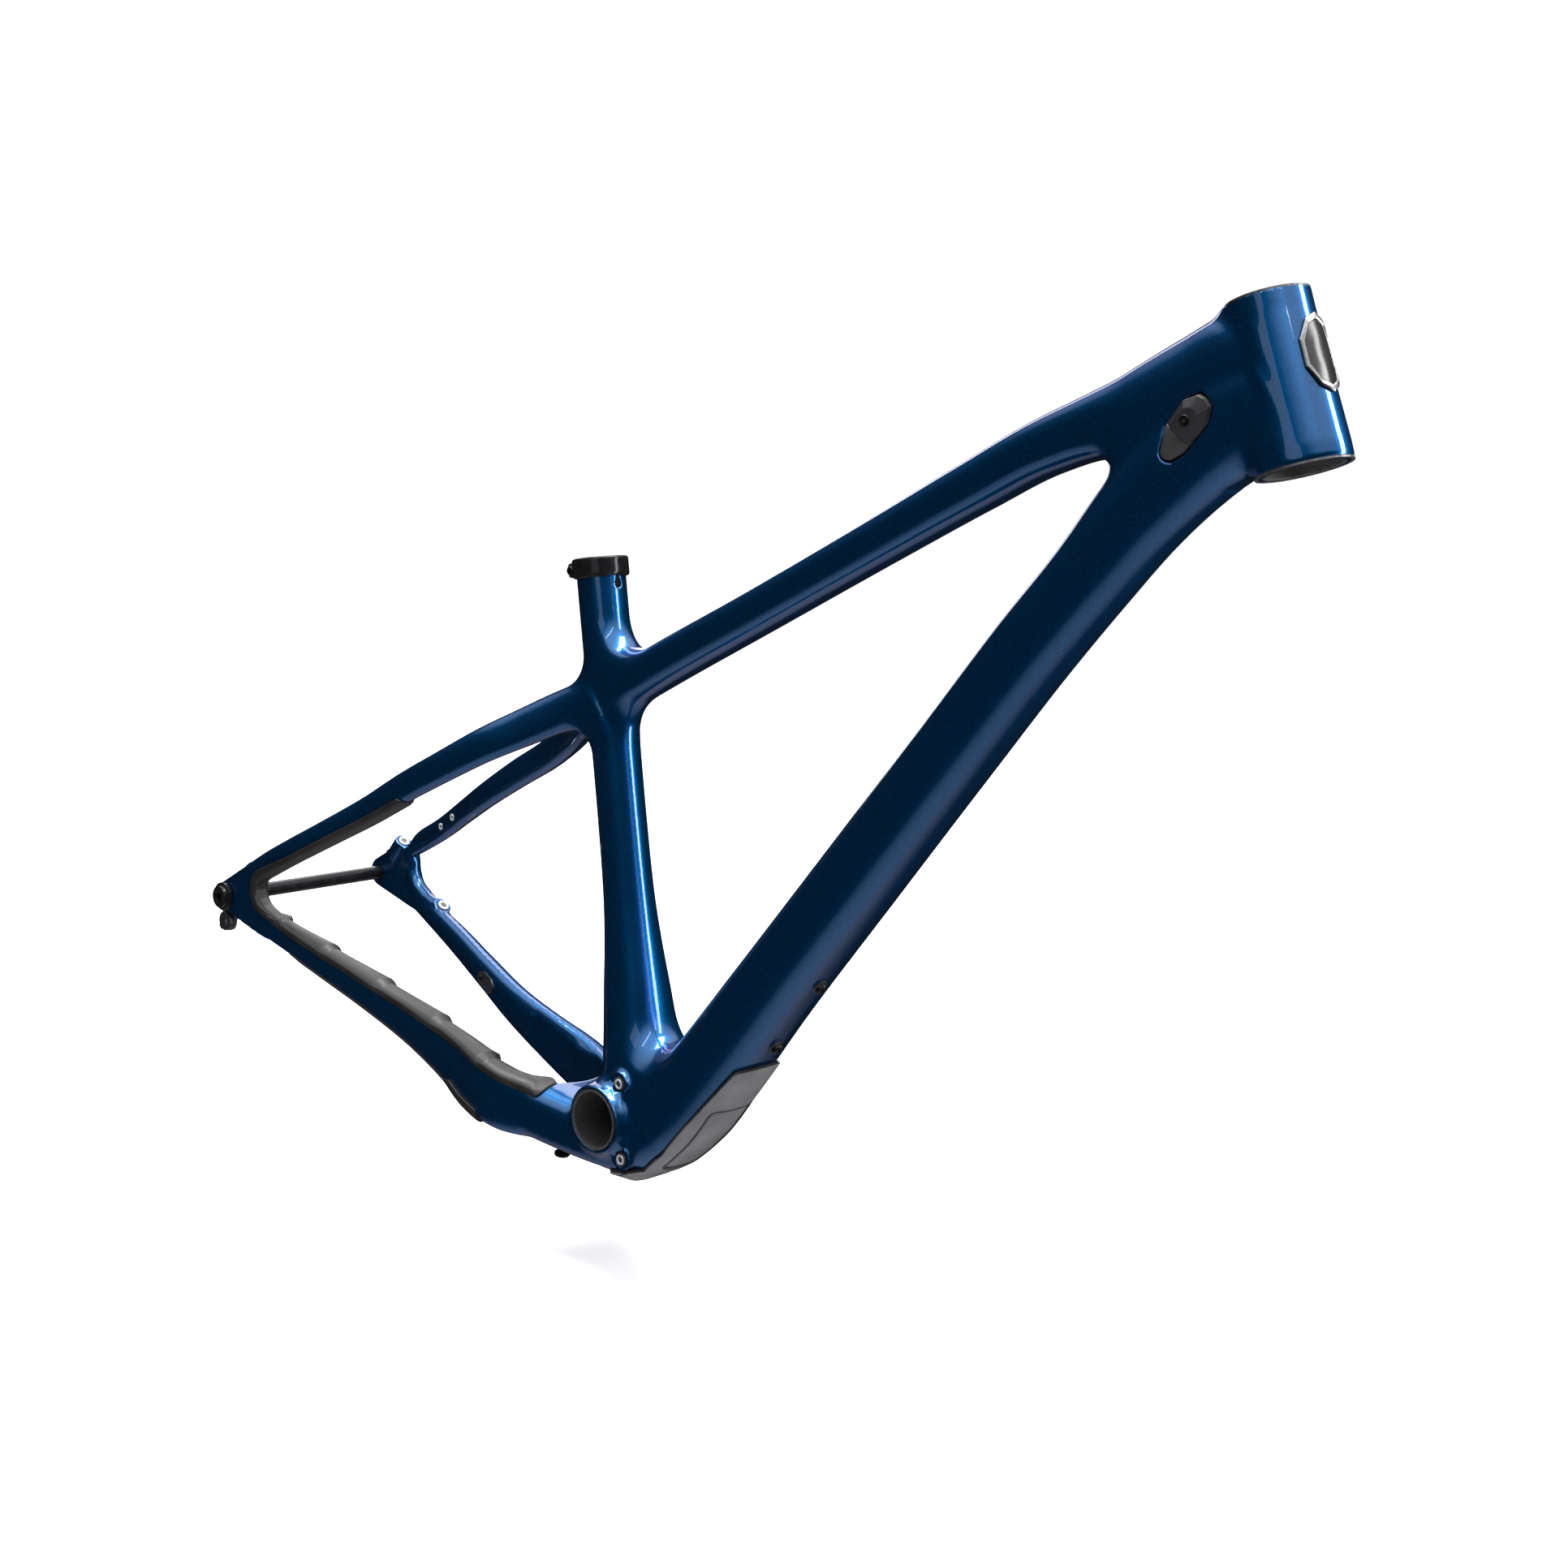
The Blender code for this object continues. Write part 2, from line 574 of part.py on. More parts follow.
def make_left_dropout(material):
    plate = dropout_block(1, HUB_HALF_WIDTH, HUB_HALF_WIDTH + DROPOUT_THICKNESS)
    plate.name = plate.data.name = "left_dropout"
    plate.data.materials.append(material)
    join(plate, brake_boss(UPPER_BRAKE_FACE, 0.020))
    cut(plate, brake_insert_drill(UPPER_BRAKE_FACE),
        rod("drill", REAR_AXLE + Vector((0, 0.06, 0)), Vector((0, 1, 0)), AXLE_BORE_RADIUS, 0.04, 32))
    return plate


def make_right_dropout(material):
    """Like the left plate, with a pocket on the inside for the derailleur hanger."""
    plate = dropout_block(-1, HUB_HALF_WIDTH, HUB_HALF_WIDTH + DROPOUT_THICKNESS)
    plate.name = plate.data.name = "right_dropout"
    plate.data.materials.append(material)
    inwards = Vector((0, -1, 0))
    pocket = rod("pocket", REAR_AXLE - Vector((0, 0.070, 0)), inwards, HANGER_POCKET_RADIUS,
                 0.004 + HANGER_POCKET_DEPTH, 40)
    bottom = prism("pocket", SIDE_FRAME, rectangle(-0.445, -0.4150, 0.030, 0.060),
                   0.070, HUB_HALF_WIDTH + HANGER_POCKET_DEPTH)
    hole = rod("drill", REAR_AXLE - Vector((0, 0.070, 0)), inwards, HANGER_BOSS_RADIUS + GAP, 0.03, 32)
    cut(plate, pocket, bottom, hole)
    return plate


HOSE_PORT_X = -0.237
HOSE_PORT_OUTLINE = [(0.0125, -0.0035), (0.0125, 0.0035), (0.006, 0.0068), (-0.006, 0.0068),
                     (-0.0125, 0.0035), (-0.0125, -0.0035), (-0.006, -0.0068), (0.006, -0.0068)]
HOSE_PORT_SINK = 0.0016


def hose_port_frame():
    """On the inner face of the left chainstay, local X along the stay, local Z towards the wheel."""
    (centre, tangent, lateral, _), sample = frame_at(CHAINSTAY, HOSE_PORT_X)
    return facing_frame(centre - lateral * sample.w, -lateral, tangent)


def end_block(ends):
    """Removes everything behind the front edge of the dropout plate at one of its two stays."""
    (x, z), (x_next, z_next) = ends
    line = (Vector((x, 0, z)), Vector((x_next - x, 0, z_next - z)))
    return half_space(line, keep_left=False, clearance=GAP)


def stay_tube(name, rows, ends, side, material):
    rows = rows if side > 0 else mirrored(rows)
    samples = smooth_stations(rows, 16)
    tube = loft(name, samples, STAY_SIDES, STAY_POWER, material=material)
    core = loft("core", samples, STAY_SIDES, STAY_POWER, -STAY_WALL, extend=0.002)
    cut(tube, core, end_block(ends))
    return tube


def make_chainstay(name, side, material):
    tube = stay_tube(name, CHAINSTAY, CHAINSTAY_END, side, material)
    cut(tube, half_space(STAY_JOINT, keep_left=True))
    return tube


def make_left_chainstay(material):
    """Left stay, with the lower brake boss and the pocket of the hose port."""
    tube = make_chainstay("left_chainstay", 1, material)
    boss = brake_boss(LOWER_BRAKE_FACE, 0.013)
    cut(boss, end_block(CHAINSTAY_END))
    join(tube, boss)
    cut(tube, brake_insert_drill(LOWER_BRAKE_FACE),
        prism("pocket", hose_port_frame(), offset_outline(HOSE_PORT_OUTLINE, GAP), -HOSE_PORT_SINK - GAP, 0.01))
    return tube


HOSE_INSERTS_X = {"front_hose_insert": -0.318, "rear_hose_insert": -0.338}
HOSE_INSERT_RADIUS = 0.0030


def hose_insert_place(x):
    (centre, _, lateral, _), sample = frame_at(SEATSTAY, x)
    return centre - lateral * sample.w, -lateral


def make_seatstay(name, side, material):
    tube = stay_tube(name, SEATSTAY, SEATSTAY_END, side, material)
    outward = Vector((0, -side, 0))
    middle = prism("middle", facing_frame(-outward * GAP / 2, outward), rectangle(-0.5, 0.5, -0.5, 0.5), 0, 0.1)
    cut(tube, middle, solid_seat_tube(GAP))
    return tube


def make_left_seatstay(material):
    tube = make_seatstay("left_seatstay", 1, material)
    cut(tube, brake_boss(UPPER_BRAKE_FACE, 0.020, GAP))
    for x in HOSE_INSERTS_X.values():
        surface, outward = hose_insert_place(x)
        cut(tube, rod("drill", surface - outward * 0.005, outward, HOSE_INSERT_RADIUS + GAP, 0.01, 16))
    return tube


# ---------------------------------------------------------------- guards

GUARD_RISE = 0.0035               # rubber above the carbon
GUARD_STEP = 0.0028               # how much each tooth climbs before it drops
GUARD_LAP = 0.0090                # how far the rubber reaches down the sides of the stay
GUARD_STEPS_X = (-0.118, -0.168, -0.238, -0.314, -0.383)
SEATSTAY_GUARD_END_X = -0.222
GUARD_SIDE = 0.0023


def tooth_height(x):
    """Sawtooth along the chainstay: climbs forwards and drops at each step."""
    for front, rear in zip(GUARD_STEPS_X, GUARD_STEPS_X[1:]):
        if rear < x <= front:
            return GUARD_STEP * (x - rear) / (front - rear)
    return 0.0


def guard_station(rows, x, rise, flip):
    """Section that laps over the edge of a stay facing the wheel; flip is -1 under the seatstay."""
    (centre, _, _, normal), sample = frame_at(rows, x)
    half = (rise + GUARD_LAP) / 2
    middle = centre + flip * normal * (sample.h + rise - half)
    return Station(middle.x, middle.y, middle.z, half, sample.w + GUARD_SIDE)


def chainstay_guard_path():
    """Left-side path: over the yoke arm, along the chainstay, round the dropout, under the seatstay."""
    path = [Station(-0.066, 0.0425, 0.0040, 0.0040, 0.0060), Station(-0.085, 0.0480, 0.0035, 0.0060, 0.0090)]
    xs = [-0.104]
    for front, rear in zip(GUARD_STEPS_X, GUARD_STEPS_X[1:]):
        xs += [front + 0.002, front - 0.002, (front + rear) / 2]
    xs += [-0.358]
    path += [guard_station(CHAINSTAY, x, GUARD_RISE + tooth_height(x), 1) for x in xs]
    corner_y = HUB_HALF_WIDTH + DROPOUT_THICKNESS / 2
    corner = arc(INNER_CORNER, INNER_CORNER_RADIUS + 0.0015, 238, 141, 7)
    path += [Station(x, corner_y, z, 0.0045, 0.0078) for x, z in corner]
    for x in (-0.362, -0.330, -0.300, -0.270, -0.245, SEATSTAY_GUARD_END_X - 0.004):
        path.append(guard_station(SEATSTAY, x, 0.0028, -1))
    path.append(guard_station(SEATSTAY, SEATSTAY_GUARD_END_X, 0.0010, -1))
    return path


def grown_stay(rows, side):
    rows = rows if side > 0 else mirrored(rows)
    return loft("stay_block", smooth_stations(rows, 16), STAY_SIDES, STAY_POWER, GAP, extend=0.004)


def make_chainstay_guard(material):
    guard = loft("chainstay_guard", mirrored(chainstay_guard_path()), 14, 3.0, material=material)
    cut(guard, solid_yoke(GAP), grown_stay(CHAINSTAY, -1), grown_stay(SEATSTAY, -1),
        dropout_block(-1, HUB_HALF_WIDTH - GAP, HUB_HALF_WIDTH + DROPOUT_THICKNESS + GAP, GAP))
    return guard


LOWER_GUARD_X = (-0.342, -0.300, -0.250, -0.205, -0.165, -0.150, -0.114)


def make_chainstay_lower_guard(material):
    """Thin strip under the right chainstay that widens into a pad at its front."""
    rows = []
    for x in LOWER_GUARD_X:
        (centre, _, _, normal), sample = frame_at(CHAINSTAY, x)
        half = 0.0038 if x < -0.16 else 0.0085
        middle = centre - normal * (sample.h + 0.0018 - half)
        rows.append(Station(middle.x, middle.y, middle.z, half, sample.w + 0.0012))
    strip = loft("chainstay_lower_guard", mirrored(rows), 14, 3.0, material=material)
    cut(strip, grown_stay(CHAINSTAY, -1))
    return strip


DOWN_GUARD_RISE = 0.0033
DOWN_GUARD_SIDE = [(0.010, -0.0395), (0.038, -0.0310), (0.057, -0.0110), (0.1200, 0.0760), (0.1450, 0.0860),
                   (0.170, 0.060), (0.060, -0.070), (0.008, -0.070)]


def make_downtube_guard(material):
    """Shell that covers the underside of the down tube and its lower corners."""
    samples = smooth_stations(DOWN_TUBE, 22)[:7]
    guard = loft("downtube_guard", samples, MAIN_SIDES, MAIN_POWER, DOWN_GUARD_RISE, material=material)
    inside = loft("inside", samples, MAIN_SIDES, MAIN_POWER, GAP, extend=0.006)
    side = prism("side_profile", SIDE_FRAME, DOWN_GUARD_SIDE, -0.06, 0.06)
    boolean(guard, side, "INTERSECT")
    cut(guard, inside, half_space(SHELL_JOINT_DOWN, keep_left=True, clearance=GAP))
    return guard


# ---------------------------------------------------------------- small hardware

def socket(target, mouth, outward, across_flats, depth):
    """Hexagon socket sunk into a bolt head."""
    frame = facing_frame(mouth, outward)
    cut(target, prism("socket", frame, polygon(6, across_flats / math.sqrt(3)), -depth, 0.01))


def make_bolt(name, seat, outward, head_radius, head_height, shank_radius, shank_length, key, material):
    """Low-domed socket bolt; seat is the point its head bears on."""
    edge = head_radius * 0.25
    profile = [(0, -shank_length), (shank_radius, -shank_length), (shank_radius, 0), (head_radius, 0),
               (head_radius, head_height - edge), (head_radius - edge, head_height), (0, head_height)]
    bolt = turned(name, facing_frame(seat, outward), profile, 20, material)
    socket(bolt, seat + outward * head_height, outward, key, head_height * 0.6)
    return bolt


def make_bottle_bolts(material):
    for name, surface, outward in bottle_bolt_places():
        make_bolt(name, surface + outward * 0.0006, outward, 0.0046, 0.0034, BOLT_SHANK_RADIUS, 0.008, 0.003,
                  material)


def make_guide_inserts(material):
    for name, (x, z, depth) in GUIDE_INSERTS.items():
        make_bolt(name, Vector((x, -depth, z)), Vector((0, -1, 0)), 0.0047, 0.0016, GUIDE_SHANK_RADIUS, 0.009,
                  0.0035, material)


def make_drain_plug(material):
    seat = DRAIN_PLUG_PLACE + Vector((0, 0, -0.0004))
    make_bolt("drain_plug", seat, Vector((0, 0, -1)), 0.0060, 0.0030, 0.0026, 0.006, 0.003, material)


def make_threaded_insert(name, face, outward, radius, bore, length, material):
    frame = facing_frame(face - outward * length, outward)
    profile = [(bore, 0), (radius, 0), (radius, length + 0.0008), (bore + 0.0006, length + 0.0008),
               (bore, length + 0.0002)]
    turned(name, frame, profile, 20, material)


def make_left_inserts(material):
    for name, face in (("upper_brake_insert", UPPER_BRAKE_FACE), ("lower_brake_insert", LOWER_BRAKE_FACE)):
        make_threaded_insert(name, face, BRAKE_FACING.normalized(), BRAKE_INSERT_RADIUS, 0.0026,
                             BRAKE_INSERT_LENGTH, material)
    for name, x in HOSE_INSERTS_X.items():
        surface, outward = hose_insert_place(x)
        make_threaded_insert(name, surface, outward, HOSE_INSERT_RADIUS, 0.0016, 0.004, material)


def make_cable_port(side, label, materials):
    """Rubber grommet in the frame, hard cap over its upper part and the screw that holds both."""
    frame = port_frame(side)
    outline = port_outline(side)
    grommet = prism(f"{label}_cable_port_grommet", frame, outline, 0.0195, 0.0262, materials["rubber"])
    cap_outline = [(min(max(x, PORT_LENGTHWISE_SPLIT), 0.020), y * 0.82) for x, y in outline]
    cap_outline = list(dict.fromkeys(cap_outline))
    cap = prism(f"{label}_cable_port_cover", frame, cap_outline, 0.0265, 0.0292, materials["plastic"])
    outward = Vector((0, side, 0))
    along = PORT_LONG_AXIS.normalized()
    foot = PORT_CENTRE + along * 0.006 + outward * 0.0215
    cut(grommet, rod("drill", foot, outward, 0.0018, 0.01, 12))
    cut(cap, rod("drill", foot, outward, 0.0018, 0.02, 12))
    make_bolt(f"{label}_cable_port_screw", foot + outward * 0.0080, outward, 0.0028, 0.0014, 0.0014, 0.0070,
              0.0020, materials["steel"])


def make_hose_port(materials):
    frame = hose_port_frame()
    cover = prism("hose_port_cover", frame, HOSE_PORT_OUTLINE, -HOSE_PORT_SINK, 0.0008, materials["plastic"])
    outward = frame.to_3x3() @ Vector((0, 0, 1))
    place = frame @ Vector((0.0075, 0, 0))
    cut(cover, rod("drill", place - outward * 0.005, outward, 0.0014, 0.01, 12))
    make_bolt("hose_port_screw", place + outward * 0.0011, outward, 0.0024, 0.0010, 0.0010, 0.0050, 0.0016,
              materials["steel"])


BADGE_HEIGHT = 0.046
BADGE_HALF_WIDTH = 0.0155
BADGE_CENTRE_DEPTH = -0.040


def make_head_badge(material):
    """Plain curved plate with cut corners on the front of the head tube."""
    low = BADGE_CENTRE_DEPTH - BADGE_HEIGHT / 2
    high = BADGE_CENTRE_DEPTH + BADGE_HEIGHT / 2
    slope = (HEAD_BOTTOM_RADIUS - HEAD_TOP_RADIUS) / (HEAD_LENGTH - 0.022)

    def radius(z):
        return HEAD_TOP_RADIUS + slope * (-0.012 - z) + GAP

    shell = turned("head_badge", HEAD_FRAME, [
        (radius(low), low), (radius(low) + 0.0018, low), (radius(high) + 0.0018, high), (radius(high), high)],
        64, material)
    half = BADGE_HEIGHT / 2 - 0.001
    outline = [(-half, -0.005), (-half, 0.005), (-0.010, BADGE_HALF_WIDTH), (0.010, BADGE_HALF_WIDTH),
               (half, 0.005), (half, -0.005), (0.010, -BADGE_HALF_WIDTH), (-0.010, -BADGE_HALF_WIDTH)]
    forward = HEAD_FRAME.to_3x3() @ Vector((1, 0, 0))
    up = HEAD_FRAME.to_3x3() @ Vector((0, 0, 1))
    frame = facing_frame(HEAD_FRAME @ Vector((0, 0, BADGE_CENTRE_DEPTH)), forward, up)
    boolean(shell, prism("outline", frame, outline[::-1], 0.010, 0.05), "INTERSECT")


COLLAR_INNER = SEAT_TUBE_RADIUS + GAP
COLLAR_OUTER = 0.0210
COLLAR_HEIGHT = 0.0138
CLAMP_BOLT_REACH = -0.0245        # local X of the bolt axis, behind the seat tube
CLAMP_BOLT_DROP = -0.0060


def make_seat_clamp(materials):
    """Split ring with a lip over the end of the tube; ears at the rear hold the bolt."""
    top = 0.0014
    profile = [(COLLAR_INNER, top - COLLAR_HEIGHT - 0.0012), (COLLAR_OUTER, top - COLLAR_HEIGHT - 0.0012),
               (COLLAR_OUTER, top - 0.0006), (COLLAR_OUTER - 0.0006, top), (0.0163, top), (0.0163, GAP),
               (COLLAR_INNER, GAP)]
    collar = turned("seat_clamp_collar", SEAT_FRAME, profile, 48, materials["black_metal"])
    ears = prism("ears", SEAT_FRAME, [(-0.0285, -0.0065), (-0.0195, -0.0080), (-0.0195, 0.0080), (-0.0285, 0.0065)],
                 CLAMP_BOLT_DROP - 0.0052, CLAMP_BOLT_DROP + 0.0052)
    join(collar, ears)
    gap = prism("gap", SEAT_FRAME, rectangle(-0.035, -0.014, -0.0009, 0.0009), -0.03, 0.01)
    axis_start = SEAT_FRAME @ Vector((CLAMP_BOLT_REACH, -0.02, CLAMP_BOLT_DROP))
    bolt_hole = rod("drill", axis_start, Vector((0, 1, 0)), 0.0028, 0.04)
    counterbore = rod("drill", axis_start, Vector((0, 1, 0)), 0.0040, 0.0152)
    cut(collar, gap, bolt_hole, counterbore)
    head_seat = axis_start + Vector((0, 0.0150 - GAP, 0))
    make_bolt("seat_clamp_bolt", head_seat, Vector((0, -1, 0)), 0.0037, 0.0042, 0.0024, 0.0120, 0.0030,
              materials["steel"])


AXLE_TIP_Y = -0.082
WASHER_THICKNESS = 0.0015


def make_thru_axle(materials):
    """Hollow axle put in from the left; its tip threads into the hanger on the right."""
    face = HUB_HALF_WIDTH + DROPOUT_THICKNESS + GAP
    seat = face + WASHER_THICKNESS + GAP
    frame = facing_frame(REAR_AXLE, Vector((0, 1, 0)), Vector((1, 0, 0)))
    profile = [(0, 0.080), (0.0036, 0.078), (0.0036, AXLE_TIP_Y), (AXLE_RADIUS - 0.0006, AXLE_TIP_Y),
               (AXLE_RADIUS, AXLE_TIP_Y + 0.0006), (AXLE_RADIUS, seat), (0.0095, seat), (0.0095, seat + 0.0035),
               (0.0083, seat + 0.0048), (0, seat + 0.0048)]
    axle = turned("thru_axle", frame, profile, 32, materials["black_metal"])
    socket(axle, REAR_AXLE + Vector((0, seat + 0.0048, 0)), Vector((0, 1, 0)), 0.006, 0.0060)
    ring = [(AXLE_BORE_RADIUS, face), (0.0105, face), (0.0105, face + WASHER_THICKNESS),
            (AXLE_BORE_RADIUS, face + WASHER_THICKNESS)]
    turned("axle_washer", frame, ring, 32, materials["steel"])


HANGER_HOLE_OFFSET = Vector((-0.0046, 0, -0.0238))


def make_derailleur_hanger(materials):
    """Disc in the dropout pocket with a boss through it and an arm down to the derailleur bolt."""
    inner = HUB_HALF_WIDTH
    disc_thickness = 0.0035
    frame = facing_frame(REAR_AXLE, Vector((0, -1, 0)), Vector((1, 0, 0)))
    boss_end = HUB_HALF_WIDTH + DROPOUT_THICKNESS - GAP
    profile = [(AXLE_BORE_RADIUS, inner), (HANGER_DISC_RADIUS, inner), (HANGER_DISC_RADIUS, inner + disc_thickness),
               (HANGER_BOSS_RADIUS, inner + disc_thickness), (HANGER_BOSS_RADIUS, boss_end),
               (AXLE_BORE_RADIUS, boss_end)]
    hanger = turned("derailleur_hanger", frame, profile, 40, materials["hanger"])
    tip = (REAR_AXLE.x + HANGER_HOLE_OFFSET.x, REAR_AXLE.z + HANGER_HOLE_OFFSET.z)
    tip_arc = arc(tip, 0.0088, -165, 5, 9)
    neck = [(REAR_AXLE.x + 0.0095, REAR_AXLE.z - 0.0060), (REAR_AXLE.x - 0.0105, REAR_AXLE.z - 0.0050)]
    tail = [(tip[0] - 0.0128, tip[1] - 0.0075), (tip[0] - 0.0095, tip[1] - 0.0105)]
    arm = prism("arm", SIDE_FRAME, tip_arc + neck + [(tip[0] - 0.0088, tip[1] + 0.004)] + tail,
                inner, inner + disc_thickness)
    pad = prism("pad", SIDE_FRAME, arc(tip, 0.0082, 0, 345, 24), inner + disc_thickness - 0.0008, inner + 0.0068)
    join(hanger, arm, pad)
    hole = rod("drill", Vector((tip[0], -0.07, tip[1])), Vector((0, -1, 0)), 0.0044, 0.02)
    bore = rod("drill", REAR_AXLE - Vector((0, 0.07, 0)), Vector((0, -1, 0)), AXLE_BORE_RADIUS, 0.02, 32)
    cut(hanger, hole, bore)
    start = HUB_HALF_WIDTH + DROPOUT_THICKNESS + GAP
    bolt_profile = [(0, start), (0.0120, start), (0.0120, start + 0.0034), (0.0110, start + 0.0044),
                    (0.0092, start + 0.0044), (0.0092, start + 0.0058), (0.0080, start + 0.0068), (0, start + 0.0068)]
    bolt = turned("hanger_bolt", frame, bolt_profile, 40, materials["black_metal"])
    socket(bolt, REAR_AXLE - Vector((0, start + 0.0068, 0)), Vector((0, -1, 0)), 0.008, 0.005)


def make_frame():
    clear_scene()
    paint = make_material("frame_paint", CARBON_BLUE, 0.12, 0.55)
    bare = make_material("bare_carbon", BARE_GREY, 0.75, 0.0)
    silver = make_material("silver_insert", SILVER, 0.35, 1.0)
    rubber = make_material("guard_rubber", RUBBER_GREY, 0.60, 0.0)
    moulded = make_material("guard_plastic", (0.10, 0.10, 0.105), 0.45, 0.0)
    small = {
        "rubber": make_material("port_rubber", (0.03, 0.03, 0.03), 0.7, 0.0),
        "plastic": make_material("port_plastic", BLACK, 0.3, 0.0),
        "steel": make_material("black_steel", BLACK, 0.35, 0.9),
        "black_metal": make_material("black_anodised", BLACK, 0.3, 0.6),
        "hanger": make_material("hanger_alloy", (0.09, 0.09, 0.095), 0.5, 0.8),
    }
    make_head_tube(paint)
    make_headset_seats(silver)
    make_top_tube(paint)
    make_down_tube(paint)
    make_seat_tube(paint)
    make_bottom_bracket_shell(paint)
    make_bottom_bracket_sleeve(bare)
    make_chainstay_yoke(paint)
    make_chainstay("right_chainstay", -1, paint)
    make_left_chainstay(paint)
    make_seatstay("right_seatstay", -1, paint)
    make_left_seatstay(paint)
    make_right_dropout(paint)
    make_left_dropout(paint)
    make_chainstay_guard(rubber)
    make_chainstay_lower_guard(rubber)
    make_downtube_guard(moulded)
    make_bottle_bolts(small["steel"])
    make_guide_inserts(silver)
    make_left_inserts(silver)
    make_drain_plug(small["steel"])
    make_cable_port(-1, "right", small)
    make_cable_port(1, "left", small)
    make_hose_port(small)
    make_head_badge(silver)
    make_seat_clamp(small)
    make_thru_axle(small)
    make_derailleur_hanger(small)


make_frame()
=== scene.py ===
import math

import bmesh
import bpy
import numpy as np
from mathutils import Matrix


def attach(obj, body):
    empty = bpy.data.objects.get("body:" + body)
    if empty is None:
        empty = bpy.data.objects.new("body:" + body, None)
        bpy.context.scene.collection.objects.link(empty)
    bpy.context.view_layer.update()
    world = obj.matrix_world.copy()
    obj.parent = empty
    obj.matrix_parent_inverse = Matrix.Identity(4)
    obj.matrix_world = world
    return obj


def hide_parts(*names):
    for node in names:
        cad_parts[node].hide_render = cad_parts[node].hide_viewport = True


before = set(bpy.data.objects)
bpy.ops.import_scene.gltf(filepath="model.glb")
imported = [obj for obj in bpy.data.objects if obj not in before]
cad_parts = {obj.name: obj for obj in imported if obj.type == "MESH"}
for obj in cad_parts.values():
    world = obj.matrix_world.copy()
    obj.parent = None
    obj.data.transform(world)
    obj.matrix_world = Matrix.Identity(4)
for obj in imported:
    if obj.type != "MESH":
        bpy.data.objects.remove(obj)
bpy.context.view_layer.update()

import openvdb
from mathutils import Matrix, Vector

# All shapes below are worked out in millimetres in the row frame and scaled once, by MM.
MM = 0.001
HEAD_TOP = np.array([436.3, 0, 631.3])
HEAD_UP = np.array([-0.39073, 0, 0.92051])
SEAT_TOP = np.array([-92.9, 0, 398.6])
SEAT_UP = np.array([-0.25105, 0, 0.96797])
AXLE = np.array([-428.8, 0, 60.0])
AXLE_XZ = (AXLE[0], AXLE[2])
SHELL_HALF = 45.75
HEAD_BORE, SEAT_BORE, SHELL_BORE, AXLE_BORE = 21.5, 15.9, 22.7, 6.4     # radii
BRAKE_FACING = np.array([0.57393, 0, 0.81891])
UPPER_BRAKE = np.array([-399.5, 77, 95.9])
LOWER_BRAKE = np.array([-338.74, 77, 53.31])

# Sections along each tube: x, y, z, half height, half width, squareness
TOP_TUBE = [
    (-64, 0, 301.5, 17, 16.5, 2.3), (-30, 0, 324, 16.5, 18.5, 2.5), (79, 0, 392, 15.3, 19, 2.7),
    (182, 0, 457, 15.4, 19, 2.7), (250, 0, 500, 16.2, 19.5, 2.7), (300, 0, 530.5, 17.4, 20, 2.7),
    (338, 0, 548, 20.5, 20.5, 2.7), (371, 0, 558, 29, 21.8, 2.8), (408, 0, 577, 33, 23.0, 2.7),
    (432, 0, 591, 34, 24.0, 2.7), (448, 0, 600, 33, 24.0, 2.5)]
DOWN_TUBE = [
    (0, 0, -28, 18, 36, 2.5), (20, 0, -14, 27, 36, 2.5), (45, 0, 14, 31, 35, 2.6), (75, 0, 56, 29.3, 33, 2.7),
    (120, 0, 125, 27, 30.5, 2.8), (188, 0, 227, 25.4, 29, 2.9), (256, 0, 329, 24.2, 28, 2.9),
    (310, 0, 410, 24.0, 27, 2.9), (346, 0, 460.5, 24.5, 26, 2.8), (371, 0, 497, 27, 25.5, 2.7),
    (402, 0, 536, 31, 24.8, 2.7), (436, 0, 566, 31, 26.2, 2.7), (455, 0, 580, 28, 25.8, 2.5)]
SEAT_TUBE = [
    (9.2, 0, 5, 27, 36, 2), (0.1, 0, 40, 27, 31, 2.1), (-6.6, 0, 66, 25.5, 27, 2.2),
    (-13.1, 0, 91, 24, 24, 2.2), (-20.6, 0, 120, 21.4, 21.4, 2.1), (-28.4, 0, 150, 19.4, 19.5, 2),
    (-36.2, 0, 180, 18.5, 18.5, 2), (-44, 0, 210, 18.2, 18.2, 2), (-66, 0, 295, 18.2, 18.2, 2),
    (-95.5, 0, 408.6, 18.2, 18.2, 2)]
YOKE = [
    (26, 0, -22, 20, 34, 3.2), (-10, 0, -22, 22.5, 40, 3.4), (-45, 0, -21, 23.5, 45.5, 3.6),
    (-80, 0, -18.5, 23.6, 51, 3.6), (-118, 0, -14, 17, 54, 3.4)]
CHAINSTAY = [
    (-50, 28, -20, 17, 8, 3), (-75, 38.5, -19, 21.4, 10, 3), (-100, 48.2, -17, 23.2, 10.6, 3),
    (-125, 50.4, -12, 22.8, 9.9, 2.9), (-150, 49, -5, 20.6, 9, 2.8), (-200, 50.4, 8, 16.2, 9, 2.6),
    (-250, 57.8, 21, 13.4, 9, 2.5), (-300, 66.5, 33, 12, 8.2, 2.4),
    (-345, 73.5, 43, 10.8, 7, 2.4), (-372, 77.5, 49, 10.6, 6, 2.4), (-395, 79, 53.5, 10, 5, 2.4)]
